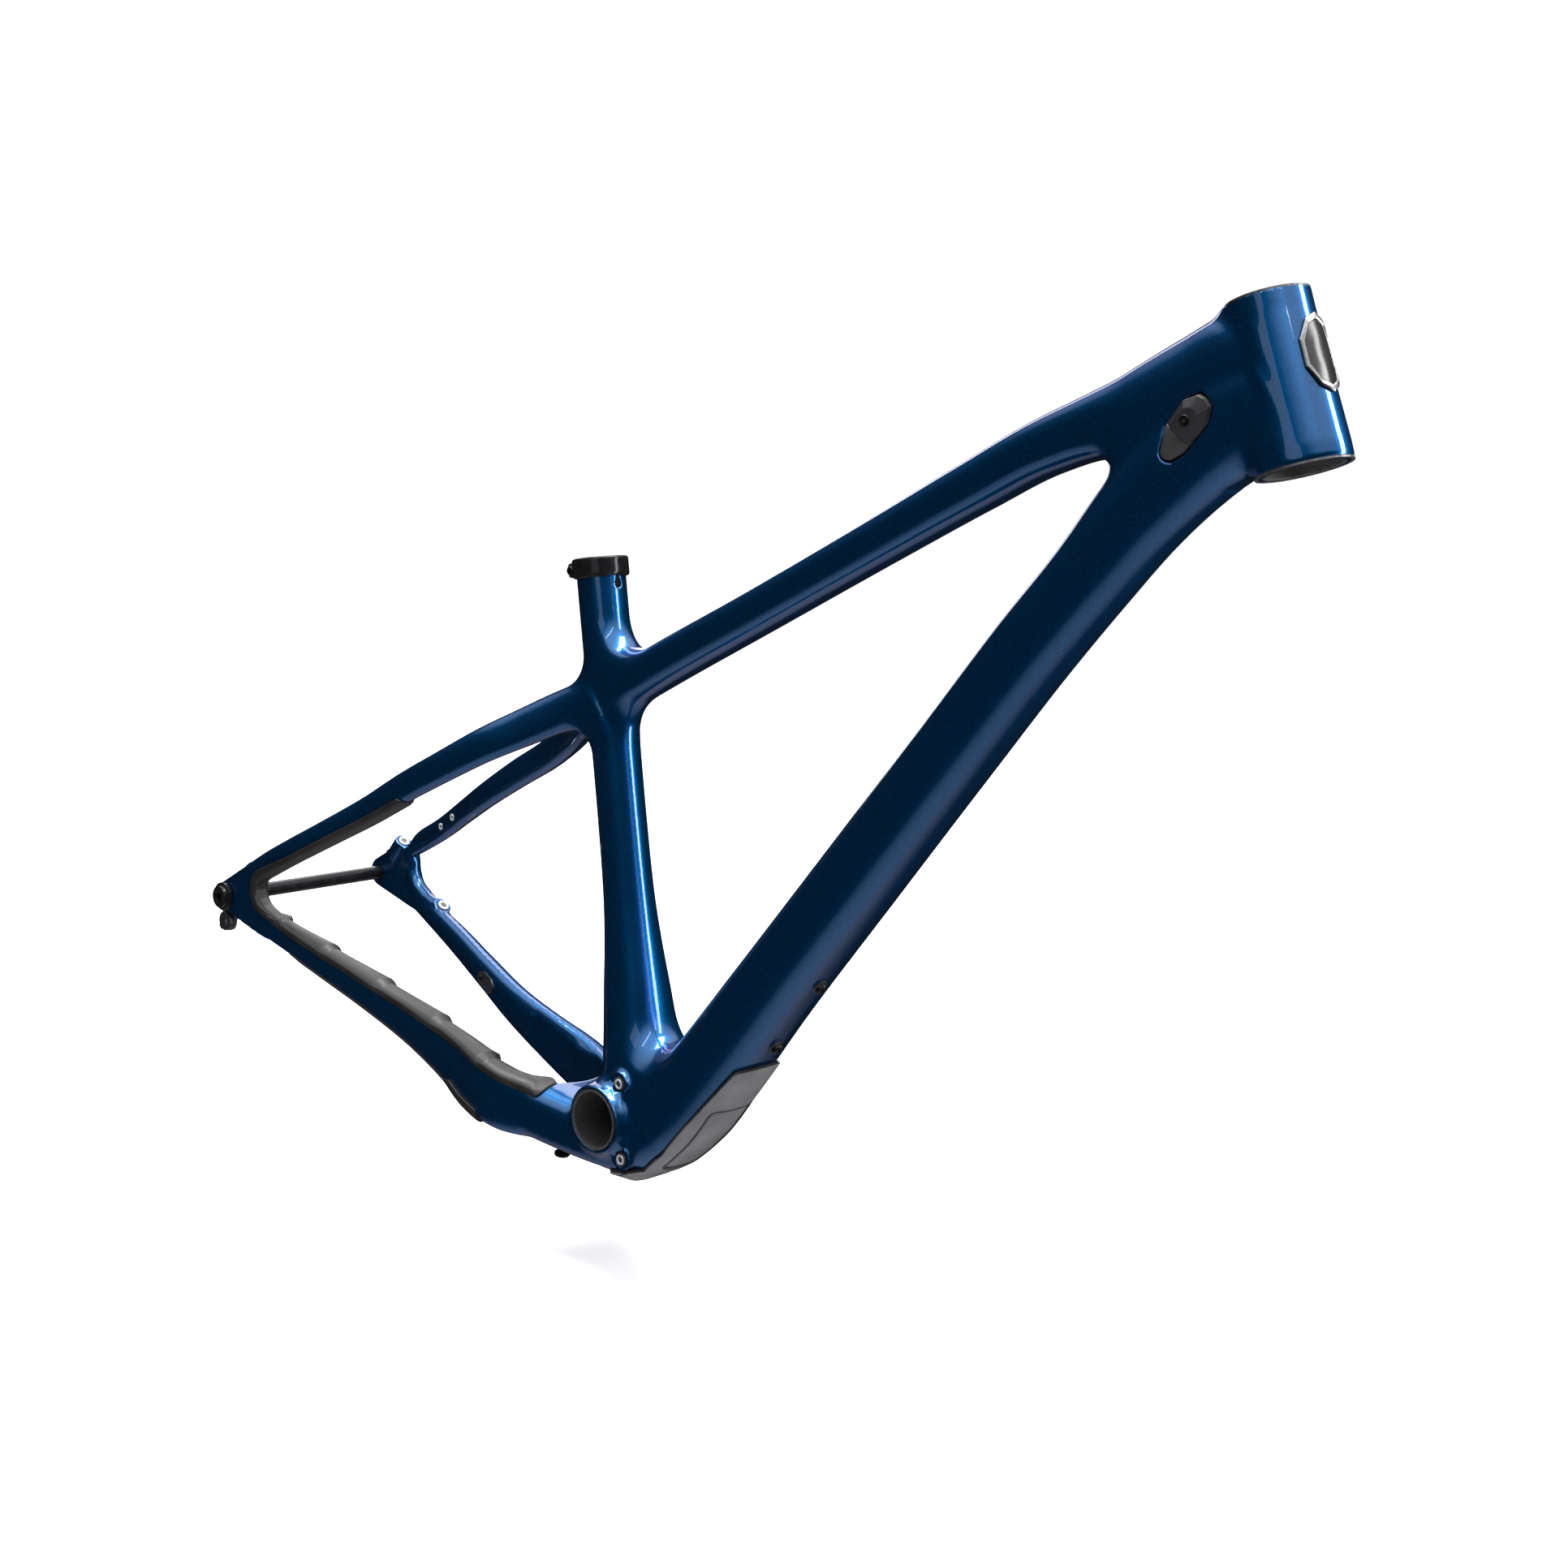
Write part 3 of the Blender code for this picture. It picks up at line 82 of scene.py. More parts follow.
SEATSTAY = [
    (-64, 4, 302, 16.5, 12, 2.3), (-78, 8, 296, 16, 12, 2.3), (-100, 15, 284, 15.5, 11.5, 2.4),
    (-125, 27, 268, 14.6, 10.5, 2.5), (-155, 43, 248, 13.4, 9.5, 2.5), (-190, 53.5, 224, 12.4, 8.5, 2.5),
    (-230, 57.3, 198.5, 11.8, 8, 2.5), (-270, 60.5, 171.3, 10.7, 8, 2.5), (-310, 69, 144.5, 9.9, 7.8, 2.4),
    (-350, 77.5, 118, 9.6, 6.6, 2.4), (-372, 79, 104, 9.6, 5.8, 2.4), (-395, 79, 89, 9, 5, 2.4)]

CALIPER_ARM = [
    (-397, 79, 93, 7, 6, 2), (-389, 79.5, 84, 6.4, 6.6, 2), (-386.5, 79.5, 73, 6.2, 6.8, 2),
    (-379, 79, 61, 6.4, 6.8, 2), (-364, 77.5, 53.5, 7, 6.8, 2), (-348, 75, 50, 7, 6, 2)]


# ---------------- distance fields

def smooth_table(rows, count):
    """Catmull-Rom samples through the rows, evenly spread along the curve's chord."""
    table = np.array(rows, float)
    chord = np.concatenate([[0], np.cumsum(np.linalg.norm(np.diff(table[:, :3], axis=0), axis=1))])
    slopes = np.gradient(table, chord, axis=0)
    place = np.linspace(0, chord[-1], count)
    index = np.clip(np.searchsorted(chord, place, side="right") - 1, 0, len(rows) - 2)
    span = (chord[index + 1] - chord[index])[:, None]
    t = (place - chord[index])[:, None] / span
    return ((2 * t**3 - 3 * t**2 + 1) * table[index] + (t**3 - 2 * t**2 + t) * span * slopes[index]
            + (3 * t**2 - 2 * t**3) * table[index + 1] + (t**3 - t**2) * span * slopes[index + 1])


def unit(vectors):
    return vectors / np.maximum(np.linalg.norm(vectors, axis=-1, keepdims=True), 1e-9)


FAR = 60.0          # distance given to points too far from a shape to matter


class Tube:
    """Rounded section swept along a smooth curve; side -1 mirrors it to the right."""

    def __init__(self, rows, side=1, axis=0, count=140):
        table = smooth_table(rows, count)
        table[:, 1] *= side
        centre = table[:, :3]
        lengths = np.concatenate([[0], np.cumsum(np.linalg.norm(np.diff(centre, axis=0), axis=1))])
        even = np.linspace(0, lengths[-1], count)
        table = np.stack([np.interp(even, lengths, column) for column in table.T], axis=1)
        centre = table[:, :3]
        tangent = unit(np.gradient(centre, axis=0))
        lateral = unit(np.array([0, 1.0, 0]) - tangent[:, 1:2] * tangent)
        normal = np.cross(lateral, tangent)
        self.table = np.hstack([centre, tangent, lateral, normal, table[:, 3:6]])
        self.length = lengths[-1]
        self.count = count
        self.axis = axis
        order = np.argsort(centre[:, axis])
        self.guide = (centre[order, axis], even[order])
        reach = max(table[:, 3].max(), table[:, 4].max()) + 34
        self.low = centre.min(0) - reach
        self.high = centre.max(0) + reach

    def row_at(self, s):
        """Centre, three directions and section at each length along the curve."""
        place = s / (self.length / (self.count - 1))
        index = np.minimum(place.astype(int), self.count - 2)
        part = (place - index)[:, None]
        return self.table[index] * (1 - part) + self.table[index + 1] * part

    def local(self, points):
        """Curve parameter, offsets across and up the section, overshoot past an end, and the section."""
        s = np.interp(points[:, self.axis], *self.guide)
        for _ in range(4):
            row = self.row_at(s)
            along = ((points - row[:, :3]) * row[:, 3:6]).sum(1)
            s = np.clip(s + along, 0, self.length)
        row = self.row_at(s)
        offset = points - row[:, :3]
        over = (offset * row[:, 3:6]).sum(1)
        return s, (offset * row[:, 6:9]).sum(1), (offset * row[:, 9:12]).sum(1), over, row

    def __call__(self, points):
        distance = np.full(len(points), FAR)
        direction = np.zeros((len(points), 3))
        near = np.all((points > self.low) & (points < self.high), axis=1)
        if not near.any():
            return distance, direction
        s, u, v, over, row = self.local(points[near])
        half_h, half_w, power = row[:, 12], row[:, 13], row[:, 14]
        a = np.abs(u) / half_w
        b = np.abs(v) / half_h
        level = np.maximum((a**power + b**power) ** (1 / power), 1e-3)
        slope_u = (a / level) ** (power - 1) / half_w * np.sign(u)
        slope_v = (b / level) ** (power - 1) / half_h * np.sign(v)
        slope = np.maximum(np.hypot(slope_u, slope_v), 1 / np.maximum(half_h, half_w))
        side = (level - 1) / slope
        out = (slope_u[:, None] * row[:, 6:9] + slope_v[:, None] * row[:, 9:12]) / slope[:, None]
        past = np.abs(over) > 0.05
        beyond = np.hypot(np.maximum(side, 0), over)
        end = np.sign(over)[:, None] * row[:, 3:6]
        leaning = unit(out * np.maximum(side, 0)[:, None] + end * np.abs(over)[:, None])
        out = np.where(past[:, None], leaning, out)
        distance[near] = np.where(past, beyond, side)
        direction[near] = out
        return distance, direction


def around_axis(points, origin, axis):
    """Height along an axis, distance from it and the direction away from it."""
    offset = points - origin
    height = offset @ axis
    radial = offset - height[:, None] * axis
    rho = np.linalg.norm(radial, axis=1)
    return height, rho, radial / np.maximum(rho, 1e-6)[:, None]


def cone(points, origin, axis, heights, radii):
    """Round body whose radius follows a table of heights, without ends."""
    height, rho, away = around_axis(points, origin, axis)
    return rho - np.interp(height, heights, radii), away


def rod(points, start, axis, radius, length):
    """Round bar with flat ends."""
    height, rho, away = around_axis(points, start + axis * length / 2, axis)
    side = rho - radius
    end = np.abs(height) - length / 2
    face = np.sign(height)[:, None] * axis
    return np.maximum(side, end), np.where((side > end)[:, None], away, face)


def polygon_distance(points2, outline):
    """Signed distance to a closed outline, and the direction away from it."""
    corners = np.array(outline, float)
    best = np.full(len(points2), 1e9)
    away = np.zeros((len(points2), 2))
    inside = np.zeros(len(points2), bool)
    for first, second in zip(corners, np.roll(corners, -1, axis=0)):
        edge = second - first
        offset = points2 - first
        t = np.clip(offset @ edge / (edge @ edge), 0, 1)
        gap = offset - t[:, None] * edge
        size = np.linalg.norm(gap, axis=1)
        closer = size < best
        best[closer] = size[closer]
        away[closer] = gap[closer] / np.maximum(size[closer], 1e-6)[:, None]
        crosses = (first[1] > points2[:, 1]) != (second[1] > points2[:, 1])
        rise = edge[1] if abs(edge[1]) > 1e-9 else 1e-9
        inside ^= crosses & (points2[:, 0] < first[0] + (points2[:, 1] - first[1]) * edge[0] / rise)
    return np.where(inside, -best, best), np.where(inside[:, None], -away, away)


def smooth_max(a, b, k):
    """Intersection of two fields, rounded over about k."""
    (da, na), (db, nb) = a, b
    h = np.clip(k - np.abs(da - db), 0, None) / k
    share = np.where(da > db, 1 - h / 2, h / 2)[:, None]
    return np.maximum(da, db) + h * h * k / 4, unit(na * share + nb * (1 - share))


def blend(a, b, k):
    """Union of two fields; a fillet of about k where they meet at an angle, none where they run together."""
    (da, na), (db, nb) = a, b
    turn = np.clip(1 - (na * nb).sum(1), 0.02, 1) * k
    h = np.clip(turn - np.abs(da - db), 0, None) / turn
    share = np.where(da < db, 1 - h / 2, h / 2)[:, None]
    return np.minimum(da, db) - h * h * turn / 4, unit(na * share + nb * (1 - share))


def carve(a, b, k):
    """a with b taken out, the edge rounded over about k."""
    return smooth_max(a, (-b[0], -b[1]), k)


def side_region(points, outline, grow=0.0):
    """Prism across Y on an outline in XZ."""
    flat, away = polygon_distance(points[:, [0, 2]], outline)
    return flat - grow, np.stack([away[:, 0], np.zeros(len(points)), away[:, 1]], axis=1)


def facing(signs, axis=1):
    """Directions along one axis, with the given signs."""
    directions = np.zeros((len(signs), 3))
    directions[:, axis] = signs
    return directions


def plate(points, outline, middle, half, edge):
    """Plate across Y with a rounded outline in XZ."""
    across = points[:, 1] - middle
    return smooth_max(side_region(points, outline), (np.abs(across) - half, facing(np.sign(across))), edge)


def arc(centre, radius, start, end, steps):
    angles = np.radians(np.linspace(start, end, steps))
    return [(centre[0] + radius * math.cos(a), centre[1] + radius * math.sin(a)) for a in angles]


DROPOUT_OUTLINE = ([(-335, 38.5), (-335, 49.0), (-352, 55.0)] + arc((-372, 78.0), 15.5, 250, 125, 9)
                   + [(-364, 101.0), (-345, 114.5), (-338, 122.0), (-374, 113.5)]
                   + arc(AXLE_XZ, 13.2, 128, 262, 12) + [(-372, 38.0)])
PORT_CENTRE = np.array([408.5, 0, 554.5])
PORT_LONG = unit(np.array([0.56, 0, 0.83]))
PORT_ACROSS = np.array([-PORT_LONG[2], 0, PORT_LONG[0]])
PORT_OUTLINE = [(21.5, -6.5), (22.5, 0), (21.0, 5), (12, 10.6), (-8, 9.8), (-21, 1.5), (-22, -2.0),
                (-19.5, -6.5), (-10, -10.5), (13, -11.2)]

tubes = {
    "top": Tube(TOP_TUBE), "down": Tube(DOWN_TUBE), "seat": Tube(SEAT_TUBE, axis=2), "yoke": Tube(YOKE),
    "caliper_arm": Tube(CALIPER_ARM, axis=2)}
for sign, label in ((1, "left"), (-1, "right")):
    tubes[label + "_chainstay"] = Tube(CHAINSTAY, sign)
    tubes[label + "_seatstay"] = Tube(SEATSTAY, sign)


def only_near(points, low, high, shape):
    """Evaluates a shape only inside a box."""
    distance = np.full(len(points), FAR)
    direction = np.zeros((len(points), 3))
    near = np.all((points > low) & (points < high), axis=1)
    if near.any():
        distance[near], direction[near] = shape(points[near])
    return distance, direction


def port_field(points, grow):
    """Outline of the cable ports as a prism through the whole head end."""
    offset = points - PORT_CENTRE
    flat = np.stack([offset @ PORT_LONG, offset @ PORT_ACROSS], axis=1)
    distance, away = polygon_distance(flat, PORT_OUTLINE)
    direction = away[:, :1] * PORT_LONG + away[:, 1:] * PORT_ACROSS
    return distance - grow, direction


def tyre_gap(points):
    """U-shaped space for the tyre behind the bottom bracket."""
    offset = points - np.array([-98.0, 0, 0])
    offset[:, 2] = 0
    offset[:, 0] = np.maximum(offset[:, 0], 0)
    rho = np.linalg.norm(offset, axis=1)
    return rho - 40.0, offset / np.maximum(rho, 1e-6)[:, None]


GUIDE_PLACES = ((13.2, 30.2, -34.5), (25.3, -23.4, -37.5))
Y_AXIS = np.array([0, 1.0, 0])


def head_shell(points):
    return cone(points, HEAD_TOP, HEAD_UP, [-100, -90, -12, 0], [28.0, 28.0, 24.5, 24.3])


def barrel(points):
    _, rho, away = around_axis(points, np.zeros(3), Y_AXIS)
    across = points[:, 1]
    radius = np.interp(np.abs(across), [0, 15, 28, 36, 43, 46], [31, 31, 29, 27, 25.6, 25.0])
    return smooth_max((rho - radius, away), (np.abs(across) - SHELL_HALF, facing(np.sign(across))), 1.2)


def brake_mount(points, field):
    """Two bosses and the round arm between them on the left dropout."""
    field = blend(field, tubes["caliper_arm"](points), 6)
    upper = rod(points, UPPER_BRAKE - BRAKE_FACING * 20, BRAKE_FACING, 7.6, 20)
    lower = rod(points, LOWER_BRAKE - BRAKE_FACING * 14, BRAKE_FACING, 7.6, 14)
    return blend(blend(field, upper, 7), lower, 7)


def dropout(points, sign):
    """Plate between the stays' ends, thinning towards its front."""
    x = points[:, 0]
    middle = np.interp(x, [-400, -372, -335], [79.0, 78.6, 72.5])
    half = np.interp(x, [-385, -335], [5.0, 2.2])
    return plate(points, DROPOUT_OUTLINE, middle * sign, half, 3.5)


def solid_frame(points):
    """The painted frame before its bores and recesses are cut."""
    head = only_near(points, [380, -70, 500], [540, 70, 700], head_shell)
    head = smooth_max(head, ((points - HEAD_TOP) @ HEAD_UP, np.tile(HEAD_UP, (len(points), 1))), 1.0)
    front = blend(tubes["top"](points), tubes["down"](points), 18)
    field = blend(front, head, 14)
    field = blend(field, tubes["seat"](points), 38)
    rear = tubes["yoke"](points)
    stays = {}
    for sign, label in ((1, "left"), (-1, "right")):
        chainstay = tubes[label + "_chainstay"](points)
        seatstay = tubes[label + "_seatstay"](points)
        rear = blend(rear, chainstay, 12)
        ends = only_near(points, [-460, -110, 20], [-310, 110, 150],
                         lambda p, s=sign: dropout(p, s))
        stays[label] = blend(seatstay, ends, 8)
    rear = carve(rear, only_near(points, [-170, -80, -60], [-40, 80, 40], tyre_gap), 5)
    field = blend(field, rear, 18)
    field = blend(field, only_near(points, [-50, -60, -50], [50, 60, 50], barrel), 9)
    crotch = np.interp(points[:, 0], [-320, -210], [5, 26])
    for label, part in stays.items():
        field = blend(field, part, crotch)
    for x, z, depth in GUIDE_PLACES:
        place = np.array([x, depth, z])
        near = np.all(np.abs(points - place) < 26, axis=1)
        if near.any():
            boss = rod(points[near], place + Y_AXIS * 12, -Y_AXIS, 8.5, 12.6)
            field[0][near], field[1][near] = blend((field[0][near], field[1][near]), boss, 7)
    left_end = np.all((points > [-440, 50, 20]) & (points < [-300, 110, 130]), axis=1)
    if left_end.any():
        part = brake_mount(points[left_end], (field[0][left_end], field[1][left_end]))
        field[0][left_end], field[1][left_end] = part
    return field


def painted_frame(points):
    """The frame with its bores, slots and recesses."""
    field = solid_frame(points)

    def cut(low, high, shape, k):
        nonlocal field
        near = np.all((points > low) & (points < high), axis=1)
        if near.any():
            part = carve((field[0][near], field[1][near]), shape(points[near]), k)
            distance, direction = field[0].copy(), field[1].copy()
            distance[near], direction[near] = part
            field = (distance, direction)

    def drill(low, high, start, axis, radius, length, k):
        cut(low, high, lambda p: rod(p, start, axis, radius, length), k)

    def above_head(p):
        return -((p - HEAD_TOP) @ HEAD_UP), np.tile(-HEAD_UP, (len(p), 1))

    cut([340, -60, 560], [520, 60, 720], above_head, 1.0)
    below_head = HEAD_TOP - HEAD_UP * 160
    drill([370, -75, 420], [580, 75, 600], below_head, HEAD_UP, 46.0, 60.0, 4.0)
    drill([380, -60, 480], [560, 60, 720], HEAD_TOP - HEAD_UP * 120, HEAD_UP, HEAD_BORE, 140.0, 1.0)
    drill([-130, -40, 200], [0, 40, 440], SEAT_TOP - SEAT_UP * 150, SEAT_UP, SEAT_BORE, 200.0, 0.8)
    drill([-160, -60, 380], [-40, 60, 460], SEAT_TOP, SEAT_UP, 40.0, 60.0, 0.8)
    drill([-40, -80, -40], [40, 80, 40], -Y_AXIS * 80, Y_AXIS, SHELL_BORE, 160.0, 1.0)
    for y in (-1, 1):
        drill([-50, -90, -50], [50, 90, 50], Y_AXIS * (y * 60 - 14.25), Y_AXIS, 27.5, 28.5, 1.4)
    drill([-450, -100, 40], [-400, 100, 80], AXLE - Y_AXIS * 95, Y_AXIS, AXLE_BORE, 190.0, 0.8)
    drill([-450, -78, 40], [-400, -60, 80], AXLE - Y_AXIS * 77.8, Y_AXIS, 14.2, 10.0, 0.8)

    def port_recess(p):
        return smooth_max(port_field(p, 0.6), (20.5 - np.abs(p[:, 1]), facing(-np.sign(p[:, 1]))), 1.0)

    cut([375, -50, 520], [440, 50, 590], port_recess, 1.6)
    for x, z, depth in GUIDE_PLACES:
        place = np.array([x, depth, z])
        drill(place - 30, place + 30, place - Y_AXIS * 20, Y_AXIS, 5.6, 20.6, 1.4)
    for place in (UPPER_BRAKE, LOWER_BRAKE):
        drill(place - 30, place + 30, place, BRAKE_FACING, 8.4, 30, 2.0)
        drill(place - 30, place + 30, place - BRAKE_FACING * 12, BRAKE_FACING, 4.6, 40, 0.8)
    forward = np.array([SEAT_UP[2], 0, -SEAT_UP[0]])

    def keyhole(p):
        hole = rod(p, SEAT_TOP - SEAT_UP * 19.5 + forward * 8, forward, 3.0, 20.0)
        height, _, _ = around_axis(p, SEAT_TOP, SEAT_UP)
        sides = facing(np.sign(p[:, 1]))
        slot = np.maximum(np.abs(p[:, 1]) - 1.2, np.maximum(-19.5 - height, 8 - (p - SEAT_TOP) @ forward))
        nearer = slot < hole[0]
        return np.where(nearer, slot, hole[0]), np.where(nearer[:, None], sides, hole[1])

    cut([-110, -12, 365], [-55, 12, 405], keyhole, 0.5)
    return field


# ---------------- meshes from fields

COARSE = 8.0


def mesh_field(field, low, high, voxel):
    """Vertices, faces and normals of the zero surface of a field inside a box."""
    ratio = int(round(COARSE / voxel))
    voxel = COARSE / ratio
    low = np.array(low, float)
    shape = np.ceil((np.array(high) - low) / COARSE).astype(int)
    centres = np.stack(np.meshgrid(*[np.arange(n) for n in shape], indexing="ij"), axis=-1).reshape(-1, 3)
    coarse = field(low + (centres + 0.5) * COARSE)[0]
    band = 3 * voxel
    sign = np.where(coarse < 0, -band, band).reshape(shape).astype(np.float32)
    dense = sign.repeat(ratio, 0).repeat(ratio, 1).repeat(ratio, 2)
    steps = np.stack(np.meshgrid(*[np.arange(ratio)] * 3, indexing="ij"), axis=-1).reshape(-1, 3)
    chosen = centres[np.abs(coarse) < COARSE * 1.25]
    for batch in np.array_split(chosen, max(1, len(chosen) // 1500)):
        cells = (batch[:, None, :] * ratio + steps[None]).reshape(-1, 3)
        values = np.clip(field(low + (cells + 0.5) * voxel)[0], -band, band)
        dense[cells[:, 0], cells[:, 1], cells[:, 2]] = values
    grid = openvdb.FloatGrid(band)
    grid.copyFromArray(dense)
    points, _, quads = grid.convertToPolygons(isovalue=0.0, adaptivity=0.0)
    vertices = low + (np.asarray(points, float) + 0.5) * voxel
    normals = np.zeros_like(vertices)
    for batch in np.array_split(np.arange(len(vertices)), max(1, len(vertices) // 60000)):
        here = vertices[batch]
        for _ in range(3):
            distance, direction = field(here)
            here = here - direction * np.clip(distance, -voxel, voxel)[:, None] * 0.9
        vertices[batch] = here
        normals[batch] = gradient(field, here)
    return vertices, np.asarray(quads), normals


def ring_mean(points, edges, count):
    """Mean of each vertex's neighbours."""
    total = np.stack([np.bincount(edges[:, 0], points[edges[:, 1], axis], count)
                      + np.bincount(edges[:, 1], points[edges[:, 0], axis], count)
                      for axis in range(points.shape[1])], axis=1)
    valence = np.bincount(edges.ravel(), minlength=count)
    return total / np.maximum(valence, 1)[:, None]


def relax(vertices, quads, normals, fixed, rounds):
    """Taubin smoothing that leaves bore edges alone; normals follow the smoothed faces there."""
    count = len(vertices)
    pairs = np.sort(np.concatenate([quads[:, [i, (i + 1) % 4]] for i in range(4)]), axis=1)
    edges = np.unique(pairs, axis=0)
    hold = fixed.astype(float)[:, None]
    for _ in range(2):
        hold = np.maximum(hold, (ring_mean(hold, edges, count) > 0.01))
    for _ in range(4):
        hold = np.maximum(hold, ring_mean(hold, edges, count) * 0.98)
    free = 1 - hold
    for _ in range(rounds):
        for pull in (0.55, -0.57):
            vertices = vertices + free * pull * (ring_mean(vertices, edges, count) - vertices)
    corners = vertices[quads]
    face = np.cross(corners[:, 2] - corners[:, 0], corners[:, 3] - corners[:, 1])
    total = np.stack([sum(np.bincount(quads[:, i], face[:, axis], count) for i in range(4))
                      for axis in range(3)], axis=1)
    smooth = unit(total)
    smooth = np.where(((smooth * normals).sum(1) < 0)[:, None], -smooth, smooth)
    return vertices, unit(free * smooth + hold * normals)


PROBE = np.array([(1, 1, 1), (1, -1, -1), (-1, 1, -1), (-1, -1, 1)], float)


def gradient(field, points, reach=0.35):
    """Unit normals of a field, from four probes round each point."""
    total = sum(np.array(probe) * field(points + probe * reach)[0][:, None] for probe in PROBE)
    return unit(total)


def put_in_scene(name, data):
    obj = bpy.data.objects.new(name, data)
    bpy.context.scene.collection.objects.link(obj)
    return obj


def make_object(name, vertices, faces, material, normals=None, scale=MM):
    """Object from arrays in millimetres, with its own smooth normals if they are given."""
    mesh = bpy.data.meshes.new(name)
    vertices = np.asarray(vertices, float) * scale
    if isinstance(faces, np.ndarray):
        sides = faces.shape[1]
        mesh.vertices.add(len(vertices))
        mesh.vertices.foreach_set("co", vertices.astype(np.float32).ravel())
        mesh.loops.add(faces.size)
        mesh.loops.foreach_set("vertex_index", faces.astype(np.int32).ravel())
        mesh.polygons.add(len(faces))
        mesh.polygons.foreach_set("loop_start", np.arange(0, faces.size, sides, dtype=np.int32))
        mesh.update(calc_edges=True)
    else:
        mesh.from_pydata([tuple(v) for v in vertices], [], faces)
    mesh.validate()
    mesh.materials.append(material)
    mesh.shade_smooth()
    if normals is not None:
        mesh.normals_split_custom_set_from_vertices(normals.astype(np.float32).tolist())
    return put_in_scene(name, mesh)


# ---------------- materials

def shader(name, colour, roughness, metallic=0.0, **values):
    """Principled material; values are set straight on the shader's sockets."""
    material = bpy.data.materials.new(name)
    material.use_nodes = True
    principled = material.node_tree.nodes["Principled BSDF"]
    principled.inputs["Base Color"].default_value = (*colour, 1)
    principled.inputs["Roughness"].default_value = roughness
    principled.inputs["Metallic"].default_value = metallic
    for socket, value in values.items():
        principled.inputs[socket.replace("_", " ")].default_value = value
    return material


def add(material, kind, **values):
    node = material.node_tree.nodes.new(kind)
    for key, value in values.items():
        if key in node.inputs:
            node.inputs[key].default_value = value
        else:
            setattr(node, key, value)
    return node


def link(material, source, target):
    material.node_tree.links.new(source, target)


def object_noise(material, scale, detail=3.0, roughness=0.5):
    """Noise in the object's own coordinates, so that it stays put on the piece."""
    coordinates = add(material, "ShaderNodeTexCoord")
    noise = add(material, "ShaderNodeTexNoise", Scale=scale, Detail=detail, Roughness=roughness)
    link(material, coordinates.outputs["Object"], noise.inputs["Vector"])
    return noise


def ramp(material, source, low, high, start=0.0, end=1.0):
    """Two-colour ramp driven by a value."""
    node = add(material, "ShaderNodeValToRGB")
    node.color_ramp.elements[0].position = start
    node.color_ramp.elements[0].color = (*low, 1)
    node.color_ramp.elements[1].position = end
    node.color_ramp.elements[1].color = (*high, 1)
    link(material, source, node.inputs["Fac"])
    return node


def vary(material, scale, low, high, roughness_low, roughness_high, bump=0.0, bump_scale=None, detail=4.0):
    """Colour and roughness drift with noise; an optional finer noise makes the surface grain."""
    principled = material.node_tree.nodes["Principled BSDF"]
    noise = object_noise(material, scale, detail)
    colours = ramp(material, noise.outputs["Fac"], low, high, 0.3, 0.7)
    link(material, colours.outputs["Color"], principled.inputs["Base Color"])
    spread = add(material, "ShaderNodeMapRange")
    spread.inputs["From Min"].default_value = 0.3
    spread.inputs["From Max"].default_value = 0.7
    spread.inputs["To Min"].default_value = roughness_low
    spread.inputs["To Max"].default_value = roughness_high
    link(material, noise.outputs["Fac"], spread.inputs["Value"])
    link(material, spread.outputs["Result"], principled.inputs["Roughness"])
    if bump:
        grain = object_noise(material, bump_scale, 2.0)
        bumps = add(material, "ShaderNodeBump", Strength=bump, Distance=0.0003)
        link(material, grain.outputs["Fac"], bumps.inputs["Height"])
        link(material, bumps.outputs["Normal"], principled.inputs["Normal"])
    return material


def make_paint():
    """Deep metallic blue under a thick clear coat, with fine flakes that catch the light."""
    material = shader("frame_paint", (0.0015, 0.085, 0.25), 0.3, 0.92, Coat_Weight=1.0, Coat_Roughness=0.012,
                      Coat_IOR=1.55, Specular_Tint=(0.03, 0.16, 0.26, 1))
    principled = material.node_tree.nodes["Principled BSDF"]
    coordinates = add(material, "ShaderNodeTexCoord")
    flakes = add(material, "ShaderNodeTexVoronoi", Scale=2600.0)
    link(material, coordinates.outputs["Object"], flakes.inputs["Vector"])
    split = add(material, "ShaderNodeSeparateColor")
    link(material, flakes.outputs["Color"], split.inputs["Color"])
    sparkle = ramp(material, split.outputs["Red"], (0.0008, 0.066, 0.200), (0.002, 0.100, 0.290), 0.2, 1.0)
    link(material, sparkle.outputs["Color"], principled.inputs["Base Color"])
    glint = add(material, "ShaderNodeMapRange")
    glint.inputs["To Min"].default_value = 0.27
    glint.inputs["To Max"].default_value = 0.35
    link(material, split.outputs["Green"], glint.inputs["Value"])
    link(material, glint.outputs["Result"], principled.inputs["Roughness"])
    return material


def grained(name, base, roughness, metallic, *drift):
    """Shader whose colour and roughness drift; drift goes on to vary()."""
    return vary(shader(name, base, roughness, metallic), *drift)


paint = make_paint()
# Dark raw laminate for the frame's bore walls; on the bottom bracket sleeve the same dark colour is painted
# shade inside the bore.
laminate_and_shade = grained("bare_laminate_and_painted_shade", (0.1, 0.1, 0.1), 0.7, 0.0, 900, (0.006, 0.006, 0.0065),
               (0.040, 0.040, 0.042), 0.55, 0.85, 0.5, 1400)
rubber = grained("guard_rubber", (0.014, 0.013, 0.012), 0.6, 0.0, 60, (0.0080, 0.0074, 0.0070),
                 (0.0135, 0.0124, 0.0118), 0.38, 0.50, 0.10, 2600)
moulded = grained("guard_plastic", (0.1, 0.1, 0.1), 0.45, 0.0, 40, (0.060, 0.058, 0.062),
                  (0.092, 0.090, 0.095), 0.32, 0.44, 0.06, 2200)
# Black rubber for washers, rings and port seats; the same dark material also makes the painted shade round
# the down tube guard and its panel.
black_rubber_and_painted_shade = grained("black_rubber_and_painted_shade", (0.02, 0.02, 0.02), 0.6, 0.0, 90, (0.014, 0.014, 0.015),
                       (0.024, 0.024, 0.026), 0.5, 0.66, 0.1, 2600)
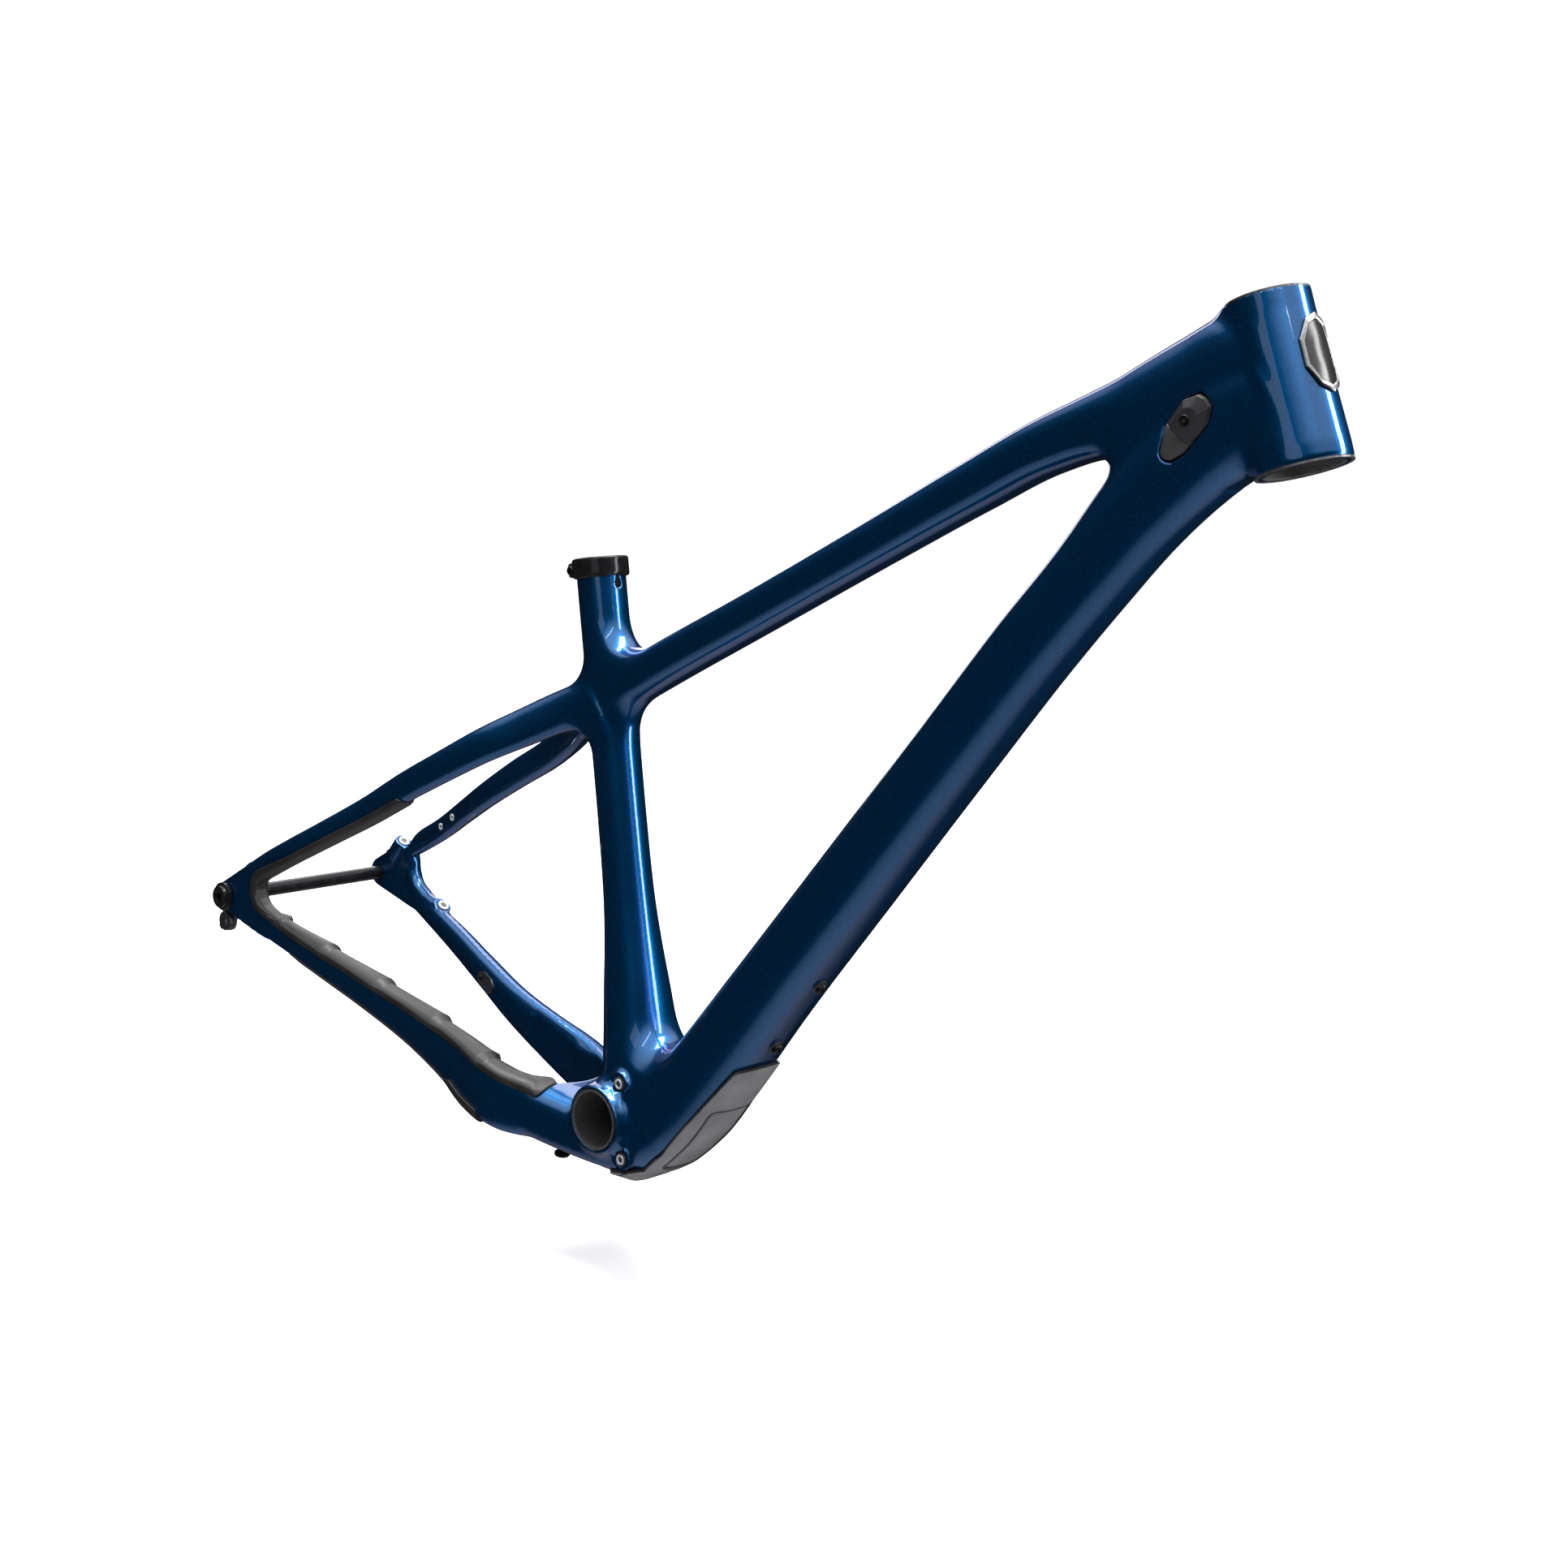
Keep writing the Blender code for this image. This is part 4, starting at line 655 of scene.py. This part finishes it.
port_rubber = grained("port_rubber", (0.05, 0.05, 0.05), 0.6, 0.0, 90, (0.020, 0.020, 0.021),
                      (0.034, 0.034, 0.036), 0.30, 0.42, 0.08, 2600)
gloss_black = grained("gloss_black_plastic", (0.02, 0.02, 0.02), 0.2, 0.0, 50, (0.012, 0.012, 0.013),
                      (0.020, 0.020, 0.022), 0.16, 0.26, 0.03, 1800)
anodised = grained("black_anodised", (0.02, 0.02, 0.02), 0.2, 0.6, 200, (0.010, 0.010, 0.011),
                   (0.018, 0.018, 0.020), 0.13, 0.22, 0.03, 2400)
black_steel = grained("black_steel", (0.03, 0.03, 0.03), 0.35, 0.9, 300, (0.018, 0.018, 0.019),
                      (0.034, 0.034, 0.036), 0.25, 0.42, 0.04, 2400)
silver = grained("satin_silver", (0.6, 0.6, 0.6), 0.4, 0.65, 300, (0.60, 0.60, 0.585),
                 (0.74, 0.74, 0.72), 0.34, 0.46, 0.03, 2400)
seat_grey = grained("seat_alloy", (0.2, 0.2, 0.2), 0.4, 0.9, 200, (0.10, 0.10, 0.105),
                    (0.20, 0.20, 0.205), 0.3, 0.5, 0.06, 1800)
hanger_alloy = grained("hanger_alloy", (0.08, 0.08, 0.08), 0.45, 0.8, 200, (0.045, 0.045, 0.048),
                       (0.075, 0.075, 0.08), 0.34, 0.5, 0.06, 1800)
badge_metal = grained("badge_metal", (0.3, 0.3, 0.3), 0.3, 1.0, 300, (0.26, 0.26, 0.255),
                      (0.36, 0.36, 0.35), 0.24, 0.36, 0.03, 2400)

# The CAD nodes that are seen as they are; pieces made below stand for all the others.
KEPT_NODES = {
    # The bottom bracket sleeve takes the dark laminate colour: painted shade inside the bottom bracket bore.
    laminate_and_shade: ["bottom_bracket_sleeve"], silver: ["front_hose_insert", "rear_hose_insert"],
    seat_grey: ["lower_headset_seat", "upper_headset_seat"], gloss_black: ["hose_port_cover"],
    black_steel: ["hose_port_screw", "seat_clamp_bolt", "axle_washer"], hanger_alloy: ["derailleur_hanger"]}
for material, nodes in KEPT_NODES.items():
    for node in nodes:
        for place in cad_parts[node].material_slots:
            place.material = material



# ---------------- the painted frame

BOX = ([-456.0, -96, -60], [520.0, 96, 660])
VOXEL = 1.6
SMOOTHING_ROUNDS = 40
vertices, faces, normals = mesh_field(painted_frame, *BOX, VOXEL)
cut_here = painted_frame(vertices)[0] > solid_frame(vertices)[0] + 0.02
vertices, normals = relax(vertices, faces, normals, cut_here, SMOOTHING_ROUNDS)
skin = make_object("painted_frame", vertices, faces, paint, normals)
skin.data.materials.append(laminate_and_shade)
centres = vertices[faces].mean(axis=1)


def inside_bore(origin, axis, low, high, radius):
    height, rho, _ = around_axis(centres, origin, axis)
    return (height > low) & (height < high) & (rho < radius)


unpainted = (inside_bore(HEAD_TOP, HEAD_UP, -101, 1, HEAD_BORE + 1.7)
             | inside_bore(SEAT_TOP, SEAT_UP, -200, 1, SEAT_BORE + 0.9)
             | inside_bore(np.zeros(3), Y_AXIS, -46, 46, SHELL_BORE + 0.5))
skin.data.polygons.foreach_set("material_index", unpainted.astype(np.int32))
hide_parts("head_tube", "top_tube", "down_tube", "seat_tube", "bottom_bracket_shell",
            "chainstay_yoke", "right_chainstay", "left_chainstay", "right_seatstay", "left_seatstay",
            "right_dropout", "left_dropout")
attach(skin, "frame")


# ---------------- guards

RIGHT_STAY = tubes["right_chainstay"]
RUBBER_LAP = 5.0
TOOTH_FRONTS = (-112, -172, -236, -297, -352, -392)
TOOTH_RISE = 2.8
STRIP_MIDDLE, STRIP_HALF = -228, 114        # the lower guard along X


def stay_edge(tube, xs, up):
    """Side view of the edge of a stay that faces the wheel (up = 1 above it, -1 below it)."""
    order = np.argsort(tube.table[:, 0])
    columns = tube.table[order]
    edge = columns[:, [0, 2]] + up * columns[:, [9, 11]] * columns[:, 12:13]
    return [(x, float(np.interp(x, edge[:, 0], edge[:, 1]))) for x in xs]


WHEEL_SIDE = (stay_edge(RIGHT_STAY, (-66, -90, -115, -140, -165, -190, -220, -250, -280, -310, -340), 1)
              + arc((-372, 78.0), 15.5, 250, 125, 8)
              + stay_edge(tubes["right_seatstay"], (-345, -315, -285, -255, -230), -1))


def tooth(x):
    """Sawtooth along the chainstay: climbs forwards and drops at each step."""
    rise = np.zeros(len(x))
    for front, rear in zip(TOOTH_FRONTS, TOOTH_FRONTS[1:]):
        part = (x - rear) / (front - rear)
        here = (part > 0) & (part <= 1)
        rise[here] = TOOTH_RISE * np.minimum(part[here] ** 1.4, (1 - part[here]) * 9)
    return rise


def over_skin(points, thickness, region, edge):
    """Layer of the given thickness on the painted frame, inside a region."""
    base, out = solid_frame(points)
    field = smooth_max((base - thickness, out), region, edge)
    return carve(field, (base + 0.5, out), 0.2)


def stay_rubber(points):
    """Rubber over the edges of the right stays that face the wheel, toothed along the chainstay."""
    region = side_region(points, WHEEL_SIDE, RUBBER_LAP)
    top = np.clip(1 - (region[0] + RUBBER_LAP) / 4, 0, 1)
    below = points[:, 2] < 60
    return over_skin(points, 2.0 + top * np.where(below, 1.2 + tooth(points[:, 0]), 0.6), region, 1.6)


def lower_rubber(points):
    """Thin strip under the right chainstay that widens into a pad at its front."""
    _, _, v, _, row = RIGHT_STAY.local(points)
    lap = np.interp(points[:, 0], [-160, -150], [4.2, 10.0])
    thickness = np.interp(points[:, 0], [-340, -330, -160, -150], [0.6, 1.3, 1.5, 2.2])
    side = (v + row[:, 12] - lap, row[:, 9:12])
    ahead = points[:, 0] - STRIP_MIDDLE
    region = smooth_max(side, (np.abs(ahead) - STRIP_HALF, facing(np.sign(ahead), 0)), 3.0)
    return over_skin(points, thickness, region, 0.8)


UNDER_GUARD = [(10, -39.5), (38, -31), (57, -11), (115, 69), (139, 79), (170, 52), (60, -75), (4, -75)]
PANEL_ALONG = unit(np.array([0.56, 0, 0.83]))


def panel_distance(points):
    """Distance to the sunken panel on the underside of the down tube guard."""
    along = np.abs(points @ PANEL_ALONG - 44) - 38
    across = np.abs(points[:, 1]) - 21
    corner = np.hypot(np.maximum(along + 6, 0), np.maximum(across + 6, 0)) - 6
    return corner + np.minimum(np.maximum(along, across) + 6, 0)


def tube_guard(points):
    """Moulded shell under the down tube with a sunken panel."""
    sunk = np.clip(0.5 - panel_distance(points) / 1.2, 0, 1)
    return over_skin(points, 3.2 - 1.3 * sunk, side_region(points, UNDER_GUARD), 1.2)


def tube_guard_edge_painted_shade(points):
    """Dark band all round the moulded shell: painted shade at its step down onto the frame."""
    return over_skin(points, 1.5, side_region(points, UNDER_GUARD, 1.4), 0.6)


def panel_edge_painted_shade(points):
    """Dark ridge round the sunken panel: painted shade in the step at its edge."""
    line = np.abs(panel_distance(points)) - 1.3
    field = over_skin(points, 3.35, (line, facing(np.sign(points[:, 1]))), 0.4)
    below = (points[:, 0] * 0.83 - points[:, 2] * 0.56) - 20
    return np.maximum(field[0], -below), field[1]


def field_piece(name, field, low, high, voxel, material, *nodes):
    vertices, faces, normals = mesh_field(field, low, high, voxel)
    finish_piece(make_object(name, vertices, faces, material, normals), "frame", *nodes)


def finish_piece(piece, body, *nodes):
    if nodes:
        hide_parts(*nodes)
    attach(piece, body)


field_piece("stay_guard_rubber", stay_rubber, [-400, -98, -30], [-45, -26, 250], 1.14, rubber,
            "chainstay_guard")
field_piece("lower_guard_rubber", lower_rubber, [-350, -98, -50], [-105, -34, 50], 1.0, rubber,
            "chainstay_lower_guard")
UNDER_BOX = ([-5, -48, -90], [180, 48, 105])
field_piece("tube_guard_shell", tube_guard, *UNDER_BOX, 1.0, moulded, "downtube_guard")
# Dark band round the shell's edge: painted shade at the step onto the frame.
field_piece("tube_guard_edge_painted_shade", tube_guard_edge_painted_shade, *UNDER_BOX, 1.0, black_rubber_and_painted_shade)
# Dark ridge along the sunken panel's step: painted shade.
field_piece("tube_guard_panel_painted_shade", panel_edge_painted_shade, *UNDER_BOX, 0.8, black_rubber_and_painted_shade)


# ---------------- small parts

def mesh_piece(name, vertices, faces, material, sharp=35.0):
    """Piece with smooth shading between crisp edges."""
    piece = make_object(name, vertices, faces, material)
    piece.data.set_sharp_from_angle(angle=math.radians(sharp))
    return piece


def across_frame(outward):
    """Two directions square to an axis."""
    side = np.cross(outward, [0, 0, 1.0]) if abs(outward[2]) < 0.9 else np.cross(outward, [0, 1.0, 0])
    side = unit(side)
    return side, np.cross(outward, side)


def hexagon_radius(angles, across_flats):
    return across_flats / 2 / np.cos((angles + math.pi / 6) % (math.pi / 3) - math.pi / 6)


def layer_faces(layers, count, foot=True):
    """Faces between rings laid one over another, closed at the foot and at the face."""
    last = (layers - 1) * count
    sides = [(start + i, start + (i + 1) % count, start + count + (i + 1) % count, start + count + i)
             for start in range(0, last, count) for i in range(count)]
    return sides + [tuple(range(count - 1, -1, -1))] * foot + [tuple(range(last, last + count))]


def turned(name, seat, outward, profile, material, key=0.0, depth=0.0, bore=0.0):
    """Turned piece from a profile of (radius, height), foot first, with a hexagon socket or a bore."""
    angles = np.linspace(0, 2 * math.pi, 48, endpoint=False)
    rings = [(np.full(len(angles), radius), height) for radius, height in profile]
    face = profile[-1][1]
    if key:
        flats = hexagon_radius(angles, key)
        rings += [(flats + 0.25, face), (flats, face - 0.3), (flats, face - depth)]
    if bore:
        wall = np.full(len(angles), bore)
        rings += [(wall + 0.3, face), (wall, face - 0.4), (wall, face - depth)]
    side, other = across_frame(outward)
    around = np.cos(angles)[:, None] * side + np.sin(angles)[:, None] * other
    vertices = [seat + radius[:, None] * around + outward * height for radius, height in rings]
    return mesh_piece(name, np.concatenate(vertices), layer_faces(len(rings), len(angles)), material)


def head_profile(radius, height, edge, shank=0.0, length=0.0):
    """Bolt head with a rounded rim on a shank."""
    foot = [(shank, -length), (shank, 0)] if shank else [(radius * 0.5, 0)]
    rim = [(radius - edge + edge * math.cos(a), height - edge + edge * math.sin(a))
           for a in np.linspace(0, math.pi / 2, 5)]
    return foot + [(radius, 0)] + rim


def bottle_bolt(name, place, outward):
    outward = unit(np.array(outward, float))
    piece = turned(name.replace("bolt", "screw"), np.array(place) + outward * 0.6, outward,
                   head_profile(4.6, 3.4, 1.2, 2.5, 8), black_steel, 3.0, 2.4)
    finish_piece(piece, "frame", name)
    washer = turned(name.replace("bolt", "washer"), np.array(place) - outward * 0.4, outward,
                    [(5.4, 0), (5.6, 0.2), (5.6, 0.8), (5.3, 1.0)], black_rubber_and_painted_shade)
    finish_piece(washer, "frame")


for node, place, outward in (("upper_bottle_bolt_front", (202.2, 0, 292.85), (-0.83, 0, 0.557)),
                             ("upper_bottle_bolt_rear", (166.1, 0, 239.95), (-0.83, 0, 0.557)),
                             ("lower_bottle_bolt_front", (164.1, 0, 143.9), (0.835, 0, -0.55)),
                             ("lower_bottle_bolt_rear", (130.1, 0, 89.7), (0.84, 0, -0.54))):
    bottle_bolt(node, place, outward)

for node, (x, z, depth) in zip(("upper_guide_insert", "lower_guide_insert"), GUIDE_PLACES):
    seat = np.array([x, depth, z])
    ring = turned(node + "_ring", seat + Y_AXIS * 0.5, -Y_AXIS,
                  [(5.2, 0), (5.2, 1.3), (4.9, 1.6), (3.9, 1.6)], black_rubber_and_painted_shade)
    finish_piece(ring, "frame")
    piece = turned(node.replace("insert", "bolt"), seat, -Y_AXIS,
                   head_profile(3.8, 1.7, 0.4, 3.0, 8), silver, 4.4, 5.0)
    finish_piece(piece, "frame", node)

drain = turned("drain_screw", np.array([-45, -31, -44.4]), np.array([0, 0, -1.0]),
               head_profile(6.0, 3.0, 1.4, 2.6, 6), black_steel, 3.0, 1.8)
finish_piece(drain, "frame", "drain_plug")

for node, place in (("upper_brake_insert", UPPER_BRAKE), ("lower_brake_insert", LOWER_BRAKE)):
    axis = unit(BRAKE_FACING)
    piece = turned(node + "_sleeve", place - axis * 9.2, axis, [(4.8, 0), (4.8, 9.7), (4.5, 10.0)], silver,
                   bore=2.6, depth=8)
    finish_piece(piece, "frame", node)


# ---------------- cable ports

PORT_NOSE = [(-4.6, -9.6), (-10, -9.4), (-19, -5.9), (-21, -2), (-20, 1.2), (-8.4, 8.7), (-4.6, 9)]
PORT_NOSE_TOP = [(-4.6, -5.4), (-9, -5), (-13, -3.6), (-14, -1.4), (-13.4, 0.6), (-8.2, 4.4), (-4.6, 5)]
PORT_CAP = [(-4.2, -9.8), (12.6, -10.2), (20.6, -6), (21.4, 0), (20, 4.4), (11.6, 9.6), (-4.2, 9.2)]
PORT_CAP_TOP = [(-4.2, -5.6), (9.5, -5.8), (12.6, -3.6), (13.2, 0), (12.4, 2.6), (9.2, 5.4), (-4.2, 5.2)]


def stacked(name, rings, material, bevel):
    """Solid from outlines laid one over another, with its edges softened."""
    piece = make_object(name, np.concatenate(rings), layer_faces(len(rings), len(rings[0])), material)
    tidy = bmesh.new()
    tidy.from_mesh(piece.data)
    bmesh.ops.recalc_face_normals(tidy, faces=tidy.faces)
    tidy.to_mesh(piece.data)
    tidy.free()
    softened = piece.modifiers.new("softened", "BEVEL")
    softened.width = bevel * MM
    softened.segments = 3
    softened.limit_method = "ANGLE"
    softened.angle_limit = math.radians(12)
    softened.harden_normals = True
    return piece


def port_ring(side, outline, height):
    return np.array([PORT_CENTRE + PORT_LONG * a + PORT_ACROSS * b + Y_AXIS * side * height
                     for a, b in outline])


def cable_port(side, label):
    """Rubber seat and nose with a faceted hard cap and its screw."""
    seat = [(a * 0.985, b * 0.97) for a, b in PORT_OUTLINE]
    lip = [(a * 0.93, b * 0.86) for a, b in PORT_OUTLINE]
    for name, low, top, heights, material, bevel, nodes in (
            ("seat", seat, lip, (20.6, 24.6, 25.6), black_rubber_and_painted_shade, 0.4, ["_cable_port_grommet"]),
            ("nose", PORT_NOSE, PORT_NOSE_TOP, (24.4, 25.4, 28.0), port_rubber, 0.5, []),
            ("cap", PORT_CAP, PORT_CAP_TOP, (24.4, 25.8, 28.6), gloss_black, 0.5, ["_cable_port_cover"])):
        rings = [port_ring(side, outline, height) for outline, height in zip((low, low, top), heights)]
        piece = stacked(label + "_port_" + name, rings, material, bevel)
        finish_piece(piece, "frame", *[label + node for node in nodes])
    foot = PORT_CENTRE + PORT_LONG * 5.0 + Y_AXIS * side * 28.3
    screw = turned(label + "_port_screw", foot, Y_AXIS * side,
                   [(3.5, 0), (3.5, 0.5), (3.2, 0.8), (2.7, 0.8), (2.5, 0.5), (2.2, 0.5)],
                   black_steel, 2.0, 1.6)
    finish_piece(screw, "frame", label + "_cable_port_screw")


cable_port(-1, "right")
cable_port(1, "left")


# ---------------- seat clamp, axle and badge

def clamp_field(points):
    """Split collar with two ears at the back."""
    height, rho, away = around_axis(points, SEAT_TOP, SEAT_UP)
    up = np.tile(SEAT_UP, (len(points), 1))
    back = np.array([-SEAT_UP[2], 0, SEAT_UP[0]])
    rim = (np.abs(height + 6.1) - 7.5, up * np.sign(height + 6.1)[:, None])
    ring = smooth_max((rho - 21.0, away), rim, 2.6)
    behind = (points - SEAT_TOP) @ back
    ear_x = (np.abs(behind - 22.5) - 6.0, back * np.sign(behind - 22.5)[:, None])
    sides = facing(np.sign(points[:, 1]))
    ear_y = (np.abs(points[:, 1]) - 8.0, sides)
    ear_z = (np.abs(height + 6.0) - 5.6, up * np.sign(height + 6.0)[:, None])
    ears = smooth_max(smooth_max(ear_x, ear_y, 3.0), ear_z, 2.0)
    field = blend(ring, ears, 5)
    inner = np.where(height > 0.2, 16.3, 18.45)
    field = carve(field, (rho - inner, away), 0.5)
    return carve(field, (np.maximum(np.abs(points[:, 1]) - 1.0, -(behind - 10)), sides), 0.5)


vertices, faces, normals = mesh_field(clamp_field, [-136, -26, 372], [-64, 26, 412], 0.8)
collar = make_object("seat_collar", vertices, faces, anodised, normals)
finish_piece(collar, "clamp", "seat_clamp_collar")

axle = turned("rear_axle", AXLE - Y_AXIS * 82, Y_AXIS,
              [(5.0, 0), (6.0, 1.0), (6.0, 168.1), (9.2, 168.1), (9.5, 168.4), (9.5, 171.8), (8.6, 172.9),
               (4.6, 172.9)], anodised, 6.0, 4.0)
finish_piece(axle, "axle", "thru_axle")
cap_bolt = turned("hanger_cap", AXLE - Y_AXIS * 84.3, -Y_AXIS,
                  [(11.4, 0), (12.0, 0.6), (12.0, 3.2), (11.4, 3.8), (9.6, 4.2), (9.4, 6.3), (8.9, 6.8),
                   (5.4, 6.8)], anodised, 8.0, 4.5)
finish_piece(cap_bolt, "hanger", "hanger_bolt")


BADGE_OUTLINE = [(0, 23), (9, 19), (15.5, 8), (15.5, -8), (9, -19), (0, -23), (-9, -19), (-15.5, -8),
                 (-15.5, 8), (-9, 19)]
# Each ring's share of the outline and its height over the head tube
BADGE_STEPS = [(1.0, 0.3), (1.0, 1.5), (0.96, 2.0), (0.87, 2.0), (0.83, 1.3), (0.55, 1.3), (0.25, 1.3)]


def badge():
    """Plain curved plate with a raised rim on the front of the head tube."""
    corners = np.array(BADGE_OUTLINE, float)
    fine = np.concatenate([first + np.linspace(0, 1, 8, endpoint=False)[:, None] * (second - first)
                           for first, second in zip(corners, np.roll(corners, -1, axis=0))])
    forward = np.array([HEAD_UP[2], 0, -HEAD_UP[0]])
    rings = []
    for scale, rise in BADGE_STEPS:
        across, height = fine[:, 0] * scale, fine[:, 1] * scale - 40
        radius = np.interp(height, [-90, -12], [28.0, 24.5]) + rise
        angle = across / 26.0
        rings.append(HEAD_TOP + HEAD_UP * height[:, None] + forward * (radius * np.cos(angle))[:, None]
                     + Y_AXIS * (radius * np.sin(angle))[:, None])
    faces = layer_faces(len(rings), len(fine))
    piece = mesh_piece("badge_plate", np.concatenate(rings), faces, badge_metal, 30)
    finish_piece(piece, "frame", "head_badge")
    inset = [ring + forward * 0.1 for ring in rings[4:]]
    faces = layer_faces(len(inset), len(fine), foot=False)
    finish_piece(mesh_piece("badge_inset", np.concatenate(inset), faces, gloss_black, 30), "frame")


badge()


# ---------------- stage, camera and light

def make_camera():
    """Front three-quarter view from the drive side."""
    data = bpy.data.cameras.new("camera")
    camera = put_in_scene("camera", data)
    right = Vector((0.7230, 0.6836, 0.0996))
    down = Vector((0.2002, -0.0694, -0.9773))
    forward = Vector((-0.6612, 0.7265, -0.1870))
    camera.matrix_world = Matrix.Translation((1.0907, -1.0890, 0.6126)) @ Matrix(
        (right, -down, -forward)).transposed().to_4x4()
    data.sensor_width = 36.0
    data.lens = 50.05
    data.shift_x = 0.00315
    data.shift_y = -0.0543
    data.clip_end = 200.0
    bpy.context.scene.camera = camera


def make_floor(height):
    """Wide pale floor that the clear coat doesn't mirror; it mirrors the softboxes and the dark room."""
    material = shader("studio_floor", (0.9, 0.9, 0.905), 0.7)
    mesh = bpy.data.meshes.new("studio_floor")
    bm = bmesh.new()
    bmesh.ops.create_grid(bm, x_segments=4, y_segments=4, size=60.0)
    bm.to_mesh(mesh)
    bm.free()
    mesh.materials.append(material)
    floor = put_in_scene("studio_floor", mesh)
    floor.location.z = height
    floor.visible_glossy = False


def make_light(name, place, target, size, power, colour=(1, 1, 1)):
    """Rectangular softbox aimed at a point."""
    data = bpy.data.lights.new(name, "AREA")
    data.shape = "RECTANGLE"
    data.size, data.size_y = size
    data.energy = power
    data.color = colour
    lamp = put_in_scene(name, data)
    lamp.location = place
    aim = Vector(target) - Vector(place)
    lamp.rotation_euler = aim.to_track_quat("-Z", "Y").to_euler()
    lamp.visible_camera = False


def make_world():
    """White backdrop; the room that lights the object is bright above, dark at the sides and pale below."""
    world = bpy.data.worlds.new("studio")
    world.use_nodes = True
    tree = world.node_tree
    backdrop = tree.nodes["Background"]
    backdrop.inputs["Color"].default_value = (1, 1, 1, 1)
    backdrop.inputs["Strength"].default_value = 1.0
    room = add(world, "ShaderNodeBackground")
    direction = add(world, "ShaderNodeTexCoord")
    split = add(world, "ShaderNodeSeparateXYZ")
    link(world, direction.outputs["Generated"], split.inputs["Vector"])
    height = add(world, "ShaderNodeMapRange")
    height.inputs["From Min"].default_value = -1.0
    link(world, split.outputs["Z"], height.inputs["Value"])
    shades = add(world, "ShaderNodeValToRGB")
    link(world, height.outputs["Result"], shades.inputs["Fac"])
    stops = [(0.0, 0.55), (0.09, 0.35), (0.17, 0.012), (0.56, 0.008), (0.70, 0.04), (0.79, 1.15), (1.0, 2.05)]
    elements = shades.color_ramp.elements
    while len(elements) < len(stops):
        elements.new(0.5)
    for element, (place, value) in zip(elements, stops):
        element.position = place
        element.color = (value, value, value * 1.02, 1)
    link(world, shades.outputs["Color"], room.inputs["Color"])
    rays = add(world, "ShaderNodeLightPath")
    mix = add(world, "ShaderNodeMixShader")
    link(world, rays.outputs["Is Camera Ray"], mix.inputs["Fac"])
    link(world, room.outputs["Background"], mix.inputs[1])
    link(world, backdrop.outputs["Background"], mix.inputs[2])
    link(world, mix.outputs["Shader"], tree.nodes["World Output"].inputs["Surface"])
    bpy.context.scene.world = world


bpy.context.scene.view_settings.view_transform = "Standard"
make_camera()
make_floor(-0.12)
make_world()
make_light("top_softbox", (-0.1, 0.25, 2.2), (0.0, 0.0, 0.2), (2.0, 0.9), 105)
make_light("front_top_strip", (1.4, -1.5, 2.2), (0.1, 0.0, 0.3), (2.4, 0.12), 8)
make_light("right_strip", (0.95, 0.52, 0.5), (0.2, 0.0, 0.35), (0.19, 1.5), 10)
make_light("left_back_box", (-1.5, 1.1, 0.9), (-0.1, 0.0, 0.3), (0.5, 1.6), 7)
make_light("front_fill", (0.75, -2.1, 1.0), (0.3, 0.0, 0.4), (1.3, 0.7), 2.2)
